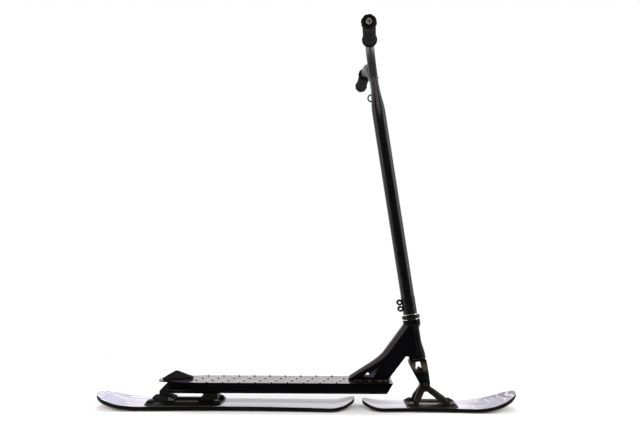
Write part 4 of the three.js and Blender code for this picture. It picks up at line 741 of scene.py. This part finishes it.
def make_block_bolt():
    """The round-headed bolt through the heel block, with its nut in the block's far flank."""
    bolt = BLOCK_BOLT
    head, shank, end = bolt["head"], bolt["shank"], bolt["half"]
    seat = end + GAP
    face = -seat - bolt["width"]
    outline = [(0, face), *arc(head - bolt["round"], face + bolt["round"], bolt["round"], -90, 0, 5),
               (head, -seat), (shank, -seat), (shank, end), (0, end)]
    place = across(bolt["x"], bolt["z"], UPRIGHT)
    piece = socket_head("heel_block_bolt", outline, bolt["socket"], face - bolt["width"],
                        face + bolt["width"] / 2, place)
    dress(piece, "frame", "black_anodised", "black_gloss", "block_bolt")
    nut, rounding, bore = bolt["nut"], bolt["nut_round"], shank + GAP
    nut_seat = end - bolt["nut_width"] + GAP
    ring = [(bore, nut_seat), (nut, nut_seat), *arc(nut - rounding, end - rounding, rounding, 0, 90, 5),
            (bore, end)]
    dress(turned("heel_block_nut", ring, place), "frame", "black_anodised", "black_anodised", "block_nut")


def trim_upright(shell):
    """Rounds off the front adaptor's upright close about the upper bolt."""
    bolt, form = CROSS_BOLTS["lock_bolt"], UPRIGHT_TOP
    low, high, roof = bolt["u"] - form["reach"], bolt["u"] + form["reach"], bolt["s"] + form["reach"]
    outline = [(low, roof), (low, form["floor"]), *arc(bolt["u"], bolt["s"], form["dome"], 195, -15, 24),
               (high, form["floor"]), (high, roof)]
    carve(shell, [prism("above", outline, "y", -form["reach"], form["reach"], STEERED)])


def trim_crown(shell):
    """Slants the fork crown's back corner down from the bearing."""
    back, face, roof = CROWN_CUT["back"], CROWN_CUT["face"], CROWN_CUT["roof"]
    outline = [(back, CROWN_CUT["low"]), (face, CROWN_CUT["bend"]), (face, roof), (back, roof)]
    carve(shell, [prism("corner", outline, "y", -2 * FORK_HALF, 2 * FORK_HALF, STEERED)])


# Deck
def deck_outline():
    """The deck's plan on the far side, from the rounded tail to beyond the nose."""
    half, corner = DECK["width"] / 2, DECK["corner"]
    tail, taper, tail_half = DECK["tail"], DECK["taper_x"], DECK["tail_half"]
    flank = (lerp(tail, taper, DECK_SHARES["flank_run"]), lerp(tail_half, half, DECK_SHARES["flank_width"]))
    bend = corner * DECK_SHARES["corner"]
    return [(tail, tail_half - corner), (tail + bend, tail_half - bend), (tail + corner, tail_half), flank,
            (taper, half), (taper + corner, half + corner), (DECK["nose"] + corner, half + corner)]


def deck_hollows():
    """The long rooms between the deck's walls and ribs, chamfered as the shell is."""
    half, wall, chamfer, corner = DECK["width"] / 2, DECK["wall"], DECK["chamfer"], DECK["corner"]
    floor, roof = DECK["top"] - DECK["height"] + wall, DECK["top"] - DECK["top_wall"]
    count = DECK["ribs"] + 1
    span = (DECK["width"] - wall * (count + 1)) / count
    hollows = []
    for i in range(count):
        start = -half + wall + i * (span + wall)
        end = start + span
        low = chamfer if i == 0 else 0
        high = chamfer if i == count - 1 else 0
        points = [(start, roof), (start, floor + low), (start + low, floor), (end - high, floor),
                  (end, floor + high), (end, roof)]
        points = [p for k, p in enumerate(points) if p != points[k - 1]]
        hollows.append(prism("hollow", points, "x", DECK["tail"] - corner, DECK["nose"] + corner))
    return hollows


def make_deck():
    half, top, wall, corner = DECK["width"] / 2, DECK["top"], DECK["wall"], DECK["corner"]
    bottom = top - DECK["height"]
    groove_top = top - DECK["groove_drop"]
    groove_foot = groove_top - DECK["groove"]
    inner = half - DECK["groove_depth"]
    flank = [(half, top), (half, groove_top), (inner, groove_top), (inner, groove_foot), (half, groove_foot),
             (half, bottom + DECK["chamfer"]), (half - DECK["chamfer"], bottom)]
    section = [(-y, z) for y, z in flank] + list(reversed(flank))
    deck = prism("extruded_deck", section, "x", DECK["tail"], DECK["nose"])
    lip = top - DECK["top_wall"]
    side = [(DECK["tail"] - corner, top), (DECK["tail"] - corner, lip), (DECK["box_tail"], lip),
            (DECK["box_tail"], bottom), (DECK["nose"] - DECK["slant"], bottom), (DECK["nose"], top)]
    plan = deck_outline()
    plan += [(x, -y) for x, y in reversed(plan)]
    shapes = [prism("side", side, "y", -2 * half, 2 * half),
              prism("plan", plan, "z", bottom - wall, top + wall)]
    carve(deck, shapes, "INTERSECT")
    dress(soften(carve(deck, deck_hollows()), DECK["round"]), "frame", "deck_paint", "deck", "deck")


def make_studs():
    """Four rows of low round-headed studs, each with a dimple in its top."""
    top, flat = DECK["top"], STUD["flat"]
    radius, crown = STUD["radius"], STUD["height"] - STUD["foot"]
    outline = [(0, top - DECK["top_wall"] / 2), (radius, top)]
    for reach, rise in arc(0, 0, 1, 0, 90, 8):
        outline.append((lerp(flat, radius, reach), top + STUD["foot"] + crown * rise))
    dimple = top + STUD["height"] - STUD["dimple"]
    outline += [(flat / 2, dimple), (0, dimple)]
    for word, row in STUD_ROWS.items():
        y = row["side"] * STUD[row["gauge"]]
        places = [STUD["first"] + STUD["pitch"] * (i - row["start_share"]) for i in range(row["count"])]
        studs = [turned("stud", outline, Matrix.Translation((x * MM, y * MM, 0)), 20) for x in places]
        dress(gather(f"studs_{word}", studs), "frame", "chrome", "chrome")


def make_foot_stop():
    """A low pyramid with a short ridge, on an arrowhead's outline."""
    floor = DECK["top"] + GAP
    corners = [(STOP["tail"], STOP["tail_half"] * STOP_TAIL_SHARE, STOP["heel_rise"]),
               (STOP["shoulder"], STOP["tail_half"], STOP["heel_rise"]),
               (STOP["nose"], STOP["nose_half"], STOP["toe_rise"])]
    solid = bmesh.new()
    for sign in (-1, 1):
        for x, half, rise in corners:
            for z in (floor, floor + rise):
                solid.verts.new(Vector((x, sign * half, z)) * MM)
        for x in (STOP["crest"], STOP["crest"] + STOP["crest_run"]):
            solid.verts.new(Vector((x, sign * STOP["crest_half"], floor + STOP["height"])) * MM)
    bmesh.ops.convex_hull(solid, input=solid.verts)
    merge_flat(solid)
    wedge = place_mesh("foot_stop_wedge", bpy.data.meshes.new("foot_stop_wedge"), solid)
    dress(soften(wedge, STOP["round"], 4), "frame", "rubber", "stop_rubber", "foot_stop")


# Neck and welds
def bead(name, path, form, place, body, slot, look="weld", sides=14):
    """A weld bead along a path: overlapping round ripples a few millimetres apart."""
    points = [Vector(p) for p in path]
    walked = [0]
    for a, b in zip(points, points[1:]):
        walked.append(walked[-1] + (b - a).length)
    steps = max(8, int(walked[-1] / form["ripple"] * 6))
    rings = []
    side = Vector((0, 0, 1))
    for k in range(steps + 1):
        distance = walked[-1] * k / steps
        leg = max(i for i in range(len(points) - 1) if walked[i] <= distance + 1e-9)
        share = (distance - walked[leg]) / (walked[leg + 1] - walked[leg])
        centre = points[leg].lerp(points[leg + 1], min(1, share))
        along = (points[leg + 1] - points[leg]).normalized()
        side = (side - along * side.dot(along)).normalized()
        up = along.cross(side)
        phase = (distance / form["ripple"]) % 1
        swell = form["radius"] * lerp(RIPPLE_SHARE, 1, math.sin(math.pi * phase) ** RIPPLE_POWER)
        turns = [2 * math.pi * i / sides for i in range(sides)]
        rings.append([tuple(centre + side * swell * math.cos(t) + up * swell * math.sin(t)) for t in turns])
    return dress(loft(name, rings, place, angle=BEAD_ANGLE), body, slot, look)


def neck_outline(inset, steps=24):
    """The neck's side outline, its back edge drawn in by an inset that fades out at the toe."""
    floor = DECK["top"] + GAP
    toe = Vector((NECK["toe"], floor + NECK["toe_rise"]))
    bend = Vector((NECK["bend_x"], NECK["bend_z"]))
    top = Vector((NECK["top_x"], NECK["top_z"]))
    span = (bend - toe).length
    toe_handle = toe + Vector((1, NECK_SHARES["toe_slope"])) * span * NECK_SHARES["toe_reach"]
    bend_handle = bend - (top - bend).normalized() * span * NECK_SHARES["bend_reach"]
    crest = []
    for i in range(steps + 1):
        t = i / steps
        one, two, three = toe.lerp(toe_handle, t), toe_handle.lerp(bend_handle, t), bend_handle.lerp(bend, t)
        crest.append(one.lerp(two, t).lerp(two.lerp(three, t), t))
    crest.append(top)
    points = [(toe.x + inset, floor)]
    for i, point in enumerate(crest):
        along = (crest[min(i + 1, steps + 1)] - crest[max(i - 1, 0)]).normalized()
        depth = inset * lerp(NECK_SHARES["toe_chamfer"], 1, i / (steps + 1))
        points.append((point.x + along.y * depth, point.y - along.x * depth))
    reach = NECK["half"]
    return points + [(top.x + reach, top.y + reach / 2), (NECK["front_x"] + reach, NECK["front_z"]),
                     (NECK["front_x"], NECK["front_z"]), (NECK["foot"], floor)]


def triangle(form):
    return [(form["tail"], form["floor"]), (form["peak_x"], form["peak_z"]), (form["nose"], form["floor"])]


def make_neck():
    """Arm from the deck to the head tube, chamfered behind, with a recess and an opening near its foot."""
    half, chamfer = NECK["half"], NECK["chamfer"]
    insets = [(-half, chamfer), (chamfer - half, 0), (half - chamfer, 0), (half, chamfer)]
    neck = loft("neck_shell", [[(x, y, z) for x, z in neck_outline(inset)] for y, inset in insets])
    low, high = TUBE["bottom"] - half, TUBE["top"] + half
    stations = [lerp(low, high, i / 60) for i in range(61)]
    room = turned("room", [(0, low), *[(tube_radius(s) + GAP, s) for s in stations], (0, high)], STEERED)
    ahead = prism("ahead", rect(0, high, low - high, high), "y", -high, high, STEERED)
    pockets = [prism("pocket", triangle(POCKET), "y", sign * (half - POCKET["depth"]), 2 * sign * half)
               for sign in (-1, 1)]
    opening = prism("opening", triangle(OPENING), "y", -2 * half, 2 * half)
    carve(neck, [room, ahead, *pockets, opening])
    dress(soften(neck, NECK["round"]), "frame", "deck_paint", "neck_paint", "neck")


def make_welds():
    radius = NECK_WELD["radius"]
    floor = DECK["top"] + radius / 3
    half, inner = NECK["half"], NECK["half"] - NECK["chamfer"]
    stations = [lerp(TUBE["bottom"] + TUBE_WELD["start"], TUBE_WELD["end_s"], i / 24) for i in range(25)]
    start, end = NECK["toe"] + NECK["chamfer"], NECK["foot"] + 2 * radius
    for sign, word in ((-1, "near"), (1, "far")):
        path = [(start, sign * half, floor), (end, sign * half, floor)]
        bead(f"neck_foot_weld_{word}", path, NECK_WELD, UPRIGHT, "frame", "deck_paint")
        path = [(TUBE_WELD["u"], sign * (tube_radius(s) + TUBE_WELD["proud"]), s) for s in stations]
        bead(f"head_tube_weld_{word}", path, TUBE_WELD, STEERED, "frame", "deck_paint", "deck_paint")
    for word, x, reach in (("toe", NECK["toe"], inner), ("heel", NECK["foot"] + radius, half)):
        path = [(x, -reach, floor), (x, reach, floor)]
        bead(f"neck_{word}_weld", path, NECK_WELD, UPRIGHT, "frame", "deck_paint")


# Head tube and headset
def tube_radius(s):
    if s >= TUBE["waist_high"]:
        share = smoothstep(s, TUBE["waist_high"], TUBE["top"] - TUBE["collar"])
        return lerp(TUBE["waist_r"], TUBE["top_r"], share)
    if s <= TUBE["waist_low"]:
        share = min(1, (TUBE["waist_low"] - s) / (TUBE["waist_low"] - TUBE["bottom"] - TUBE["foot"]))
        return lerp(TUBE["waist_r"], TUBE["bottom_r"], share)
    return TUBE["waist_r"]


def make_ring(name, outline, body, slot, node):
    """A finely turned piece on the steering axis, its look named as its slot is."""
    dress(turned(name, outline, STEERED, 96), body, slot, slot, node)


def make_head_tube(seat, steps=40):
    bottom, top, lip, bore = TUBE["bottom"], TUBE["top"], TUBE["lip"], TUBE["bore"]
    lower, upper = bottom + BEARING["height"], top - BEARING["height"]
    stations = [lerp(bottom + lip, top - lip, i / steps) for i in range(1, steps)]
    outline = [(seat, bottom), (TUBE["bottom_r"] - lip, bottom), (TUBE["bottom_r"], bottom + lip),
               *[(tube_radius(s), s) for s in stations], (TUBE["top_r"], top - lip),
               (TUBE["top_r"] - lip, top), (seat, top), (seat, upper), (bore, upper), (bore, lower),
               (seat, lower)]
    make_ring("waisted_head_tube", outline, "frame", "deck_paint", "head_tube")


def bevelled_ring(bore, rim, floor, roof, bevel):
    return [(bore, floor), (rim - bevel, floor), (rim, floor + bevel), (rim, roof - bevel),
            (rim - bevel, roof), (bore, roof)]


def make_headset(seat):
    """The rings below and above the head tube. Returns the height of the top one."""
    form, bevel, inner = HEADSET, HEADSET["bevel"], STEERER + GAP
    foot, rim, rounding = RACE["foot"], RACE["radius"], RACE["round"]
    roof = foot + RACE["height"]
    race = [(RACE["bore"], foot), *arc(rim - rounding, foot + rounding, rounding, -90, 0, 4),
            *arc(rim - rounding, roof - rounding, rounding, 0, 90, 4), (RACE["bore"], roof)]
    make_ring("race_ring", race, "steering", "black_anodised", "crown_race")
    foot = TUBE["top"] + GAP
    roof = foot + form["ring_height"]
    make_ring("cup_ring", bevelled_ring(seat, form["ring"], foot, roof, bevel), "frame", "chrome",
              "headset_cup_ring")
    foot = roof + GAP
    roof, middle = foot + form["cover_height"], foot + form["cover_height"] / 2
    rim, rounding = form["cover"], form["round"]
    cover = [(form["spacer"] - bevel, middle), (form["spacer"] - bevel, foot),
             *arc(rim - rounding, foot + rounding, rounding, -90, 0, 6),
             *arc(rim - rounding, roof - rounding, rounding, 0, 90, 6), (inner, roof), (inner, middle)]
    make_ring("headset_cap", cover, "steering", "black_anodised", "headset_cover")
    foot = roof + GAP
    roof = foot + form["spacer_height"]
    make_ring("silver_spacer", bevelled_ring(inner, form["spacer"], foot, roof, bevel), "steering", "chrome",
              "spacer_ring")
    return roof


# Bar
def bar_section(s, sides=96):
    """The down tube's outline: round below, a broad flat oval with a crease on each flank at the top."""
    share = smoothstep(s, BAR["yoke"], BAR["flat"])
    depth = lerp(BAR["radius"], BAR["half_depth"], share)
    width = lerp(BAR["radius"], BAR["half_width"], smoothstep(s, BAR["yoke"], BAR["top"]))
    power = 2 / lerp(2, OVAL_POWER, share)
    ring = []
    for i in range(sides):
        turn = 2 * math.pi * i / sides
        c, d = math.cos(turn), math.sin(turn)
        u = depth * math.copysign(abs(c) ** power, c)
        y = width * math.copysign(abs(d) ** power, d)
        crease = BAR["crease"] * share * math.exp(-(u / BAR["crease_half"]) ** 2)
        ring.append((u, y - math.copysign(crease, d), s))
    return ring


def make_down_tube(foot):
    start, bend, radius = foot + BAR["lip"], BAR["yoke"] - BAR["lead"], BAR["radius"]
    stations = [foot, start] + [lerp(start, bend, i / 10) for i in range(1, 11)]
    stations += [lerp(bend, BAR["top"], i / 40) for i in range(1, 41)]
    tube = loft("down_tube_shell", [bar_section(s) for s in stations], STEERED)
    hollow = prism("hollow", polygon(radius - BAR["wall"], 48), "z", foot - OVERRUN, foot + BAR["hollow"],
                   STEERED)
    slot = prism("slot", rect(-2 * radius, 0, -BAR["slot"] / 2, BAR["slot"] / 2), "z", foot - OVERRUN,
                 foot + BAR["slot_height"], STEERED)
    carve(tube, [hollow, slot])
    dress(tube, "steering", "black_paint", "bar_paint", "down_tube")


def wing_path(steps=28):
    """A wing's centre line in the bar's plane, with where its grip starts and how high."""
    angle, bend = WING["angle"], WING["bend"]
    crest = BAR["top"] + WING["rise"]
    start = WING["start_y"] + (WING["rise"] - bend * (1 - math.cos(angle))) / math.tan(angle)
    foot = 2 * WING["radius"]
    path = [(WING["start_y"] - foot / math.tan(angle), BAR["top"] - foot)]
    for i in range(steps + 1):
        turn = angle * (1 - i / steps)
        path.append((start + bend * (math.sin(angle) - math.sin(turn)), crest - bend * (1 - math.cos(turn))))
    grip_start = start + bend * math.sin(angle) + WING["level"]
    return path + [(grip_start, crest), (grip_start + GRIP["length"], crest)], grip_start, crest


def pipe(name, points, radius, sides=48):
    """A round bar along a path on the steering axis."""
    path = [Vector(p) for p in points]
    rings = []
    side = Vector((1, 0, 0))
    for i, point in enumerate(path):
        along = (path[min(i + 1, len(path) - 1)] - path[max(i - 1, 0)]).normalized()
        side = (side - along * side.dot(along)).normalized()
        up = along.cross(side)
        turns = [2 * math.pi * k / sides for k in range(sides)]
        rings.append([tuple(point + side * radius * math.cos(t) + up * radius * math.sin(t)) for t in turns])
    return loft(name, rings, STEERED)


def make_wings():
    """The two bent wings, cut off where they meet the head and each other, and the weld round the head."""
    path, _, _ = wing_path()
    reach, top = 4 * BAR["half_width"], BAR["top"]
    back, out = -math.sin(WING["sweep"]), math.cos(WING["sweep"])
    for sign, word in ((1, "left"), (-1, "right")):
        points = [(run * back, sign * run * out, s) for run, s in path]
        wing = pipe(f"bar_wing_{word}", points, WING["radius"])
        below = prism("below", rect(-reach, reach, -reach, reach), "z", top - reach, top + GAP, STEERED)
        beyond = prism("beyond", rect(-reach, reach, 0, -sign * reach), "z", top - reach, top + reach,
                       STEERED)
        dress(carve(wing, [below, beyond]), "steering", "black_paint", "black_paint", f"wing_{word}")
    inset_share = 1 - HEAD_WELD["radius"] / BAR["half_width"] / 2
    seam = [(u * inset_share, y * inset_share, top + GAP / 2) for u, y, _ in bar_section(top, 48)]
    bead("bar_head_weld", seam + seam[:1], HEAD_WELD, STEERED, "steering", "black_paint")


def along_bar(sign, run, crest):
    """A place whose own Z runs outwards along one bar end, from a given distance along it."""
    outwards = Vector((-math.sin(WING["sweep"]), sign * math.cos(WING["sweep"]), 0))
    up = Vector((0, 0, 1))
    turn = Matrix((up.cross(outwards), up, outwards)).transposed().to_4x4()
    return STEERED @ Matrix.Translation(Vector((0, 0, crest)) * MM + outwards * run * MM) @ turn


def grip_outline(inner_end):
    """A grip's outline: flange, ribbed body and crowned collar."""
    length, bore, body, lip = GRIP["length"], WING["radius"] + GAP, GRIP["body"], GRIP["lip"]
    flange, width, collar = GRIP["flange"], GRIP["flange_width"], GRIP["collar"]
    outline = [(bore, 0), (flange - lip, 0), *arc(flange - lip, lip, lip, -90, 0, 4), (flange, width - lip),
               *arc(flange - lip, width - lip, lip, 0, 90, 4), (body + lip, width), (body, width + lip)]
    ribbed = inner_end - GRIP["blend"] - width - 4 * lip
    steps = int(ribbed / GRIP["rib_pitch"]) * 6
    for i in range(steps + 1):
        rise = GRIP["rib"] * max(0, math.sin(math.pi * i / 6)) ** 2
        outline.append((body + rise - GRIP["rib"] / 2, width + 2 * lip + ribbed * i / steps))
    return outline + [(collar, inner_end), (collar + GRIP["crown"], inner_end + GRIP["collar_width"] / 2),
                      *arc(collar - lip, length - lip, lip, 0, 90, 4), (bore, length)]


def make_grips(sides=96):
    _, start, crest = wing_path()
    inner_end = GRIP["length"] - GRIP["collar_width"]
    outline = grip_outline(inner_end)
    rings = []
    for k in range(sides):
        turn = 2 * math.pi * k / sides
        hollow = max(0, math.cos(GRIP["scallops"] * turn)) ** 3
        ring = []
        for r, z in outline:
            on_collar = z > inner_end - GRIP["blend"] and r > GRIP["body"]
            reach = r - GRIP["scallop"] * hollow if on_collar else r
            ring.append((reach * math.cos(turn), reach * math.sin(turn), z))
        rings.append(ring)
    for sign, word in ((1, "left"), (-1, "right")):
        grip = loft(f"rubber_grip_{word}", rings, along_bar(sign, start, crest), looped=True)
        dress(grip, "steering", "rubber", "rubber", f"grip_{word}")
        make_plug(word, along_bar(sign, start + GRIP["length"] + GAP, crest))


def make_plug(word, place):
    """A round plug in the bar's end, with a recess that holds rings of small pale dots."""
    radius, width, chamfer = PLUG["radius"], PLUG["width"], PLUG["chamfer"]
    hole, dot = PLUG["recess_radius"], PLUG["dot"]
    stem = WING["radius"] - WING["wall"] - GAP
    floor = width - PLUG["recess"]
    outline = [(0, -PLUG["stem"]), (stem, -PLUG["stem"]), (stem, 0), (radius, 0),
               *arc(radius - chamfer, width - chamfer, chamfer, 0, 90, 5), (hole, width),
               (hole - chamfer / 3, floor), (0, floor)]
    plug = turned(f"bar_plug_{word}", outline, place)
    dress(plug, "steering", "black_anodised", "black_anodised", f"end_plug_{word}")
    button = [(0, 0), (dot, 0), (dot, dot / 4), (dot / 2, dot / 3), (0, dot / 3)]
    dots = []
    for circle, count in PLUG_DOT_RINGS:
        for k in range(count):
            turn = 2 * math.pi * k / count
            spot = Vector((circle * math.cos(turn), circle * math.sin(turn), floor)) * MM
            dots.append(turned("dot", button, place @ Matrix.Translation(spot), 16))
    dress(gather(f"plug_dots_{word}", dots), "steering", "nylon", "dots")


def make_clamp(floor):
    """A thin slit band round the tube's foot, with two round bosses behind it for its bolts."""
    inner, half, boss, behind = BAR["radius"] + GAP / 3, CLAMP["boss_half"], CLAMP["boss"], CLAMP["boss_u"]
    roof, lug, gape = floor + CLAMP["height"], CLAMP["boss_neck"] / 2, CLAMP["slit"] / 2
    head, thick = CLAMP["head"], CLAMP["head_height"]
    heights = {"low": floor + CLAMP["boss_low"], "high": floor + CLAMP["boss_high"]}
    band = turned("bar_clamp_band", rect(0, inner + CLAMP["wall"], floor, roof), STEERED, 96)
    added, cut = [], []
    for s in heights.values():
        place = across(behind, s, STEERED)
        added.append(turned("boss", rect(0, boss, -half, half), place, 48))
        added.append(prism("lug", rect(behind, 0, s - lug, s + lug), "y", GAP - half, half - GAP, STEERED))
        cut.append(turned("room", rect(0, head + GAP, -2 * half, thick - half), place, 32))
    carve(band, added, "UNION")
    cut.append(prism("slit", rect(2 * behind, 0, -gape, gape), "z", floor - half, roof + half, STEERED))
    cut.append(turned("bore", rect(0, inner, floor - half, roof + half), STEERED, 72))
    clamp = soften(carve(band, cut), CLAMP["round"])
    dress(clamp, "steering", "black_anodised", "black_paint", "bar_clamp")
    seat = thick - half - GAP
    face, chamfer = seat - thick, thick / 5
    outline = [(0, face), *arc(head - chamfer, face + chamfer, chamfer, -90, 0, 4), (head, seat),
               (CLAMP["shank"], seat), (CLAMP["shank"], half), (0, half)]
    for word, node in (("low", "clamp_bolt_lower"), ("high", "clamp_bolt_upper")):
        bolt = socket_head(f"clamp_screw_{word}", outline, CLAMP["socket"], face - thick, face + thick / 2,
                           across(behind, heights[word], STEERED))
        dress(bolt, "steering", "chrome", "bright", node)


def make_loop(steps=40):
    """The wire loop behind the bar's head, bowed out between its two feet."""
    away = -BAR["half_depth"]
    back = -(BAR["radius"] + BAR["half_depth"]) / 2 - LOOP["reach"]
    points = []
    for i in range(steps + 1):
        turn = math.pi * i / steps
        bow_share = max(0, math.sin(turn)) ** LOOP_BOW_SHARE
        points.append((lerp(away, back, bow_share), 0, LOOP["s"] - LOOP["half"] * math.cos(turn)))
    dress(pipe("wire_loop", points, LOOP["wire"], 16), "steering", "black_paint", "black_paint", "leash_loop")


# Floor, light and camera
def make_stage():
    """A floor that takes the object's shadow and turns plain white away from it and in reflections."""
    far, front = FLOOR["far"], FLOOR["front"]
    corners = [(x, y, -FLOOR["drop"]) for x, y in rect(-far, far, -front, far)]
    floor = make("floor", corners, [(0, 1, 2, 3)])
    surface = Surface("white_floor", roughness=0.9, specular_ior_level=0.1, emission_color=WHITE,
                      base_color=(FLOOR_TONE_SHARE, FLOOR_TONE_SHARE, FLOOR_TONE_SHARE, 1))
    ray = surface.nodes.new("ShaderNodeLightPath").outputs
    reach = surface.nodes.new("ShaderNodeVectorMath")
    reach.operation = "LENGTH"
    surface.put(reach.inputs[0], surface.coords)
    away = surface.spread(reach.outputs["Value"], FLOOR["fade_start"] * MM, FLOOR["fade_end"] * MM,
                          curve="LINEAR")
    seen = surface.maths("MAXIMUM", ray["Is Camera Ray"], ray["Is Glossy Ray"])
    lift = surface.maths("MULTIPLY", ray["Is Camera Ray"], FLOOR_LIFT_SHARE)
    surface.put(surface.shader.inputs["Emission Strength"], lift)
    share = surface.maths("MULTIPLY", seen, away)
    surface.show(share, surface.shader, surface.node("Emission"), "Material Output")
    floor.data.materials.append(surface.material)


def make_world():
    """White to the camera and behind the object, darker on the camera's side in reflections."""
    world = bpy.data.worlds.new("studio")
    bpy.context.scene.world = world
    tree = Tree(world)
    ray = tree.nodes.new("ShaderNodeLightPath").outputs
    behind = tree.split(tree.nodes.new("ShaderNodeTexCoord").outputs["Generated"], "Y")
    shares = WORLD_SHARES
    diffuse = tree.spread(ray["Is Diffuse Ray"], 0, 1, 1, shares["soft_light"])
    across = tree.spread(behind, shares["near"], shares["far"], shares["near_light"], shares["far_light"])
    strength = tree.maths("MULTIPLY", across, diffuse)
    background = tree.nodes["Background"]
    tree.put(background.inputs["Color"], WHITE)
    tree.put(background.inputs["Strength"], strength)
    white = tree.node("Background", color=WHITE, strength=1)
    tree.show(ray["Is Camera Ray"], background, white, "World Output")


def make_lamp(name, place, target, size, power, mirrored):
    """A soft area lamp, which shiny pieces mirror or not."""
    light = bpy.data.lights.new(name, "AREA")
    light.shape = "RECTANGLE"
    light.size, light.size_y = (length * MM for length in size)
    light.energy = power
    lamp = bpy.data.objects.new(name, light)
    lamp.location = Vector(place) * MM
    lamp.rotation_euler = (Vector(target) - Vector(place)).to_track_quat("-Z", "Y").to_euler()
    lamp.visible_glossy = mirrored
    bpy.context.scene.collection.objects.link(lamp)


def make_camera():
    data = bpy.data.cameras.new("camera")
    data.sensor_width = CAMERA["sensor"]
    data.lens = CAMERA["focal_px"] / PICTURE_WIDTH * CAMERA["sensor"]
    data.shift_y = CAMERA["off_y"] / PICTURE_WIDTH
    data.clip_start = CAMERA["clip"] * MM
    camera = bpy.data.objects.new("camera", data)
    camera.location = (CAMERA["x"] * MM, CAMERA["y"] * MM, CAMERA["z"] * MM)
    camera.rotation_euler = (math.pi / 2, 0, CAMERA["yaw"])
    bpy.context.scene.collection.objects.link(camera)
    bpy.context.scene.camera = camera


make_ski("rear", REAR_SKI, "frame")
make_ski("front", FRONT_SKI, "steering")
make_plate_screws("rear", "frame")
make_plate_screws("front", "steering")
make_fork_bolts()
make_block_bolt()
make_deck()
make_studs()
make_foot_stop()
make_neck()
make_welds()
bearing_seat = BEARING["radius"] + GAP
make_head_tube(bearing_seat)
headset_top = make_headset(bearing_seat)
make_down_tube(headset_top + BAR["foot_gap"])
make_wings()
make_grips()
make_clamp(headset_top + GAP)
make_loop()
shells = {}
for node, name, body, slot, look, width in SHELLS:
    shells[node] = dress(dressed(name, node, width), body, slot, look, node)
trim_upright(shells["front_adaptor"])
trim_crown(shells["fork"])

for name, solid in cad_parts.items():
    for place in solid.material_slots:
        place.material = looks["black_anodised" if name in DARK_NODES else "steel"]

make_stage()
make_world()
for name, lamp in LAMPS.items():
    make_lamp(name, **lamp)
make_camera()
bpy.context.scene.view_settings.view_transform = "Standard"
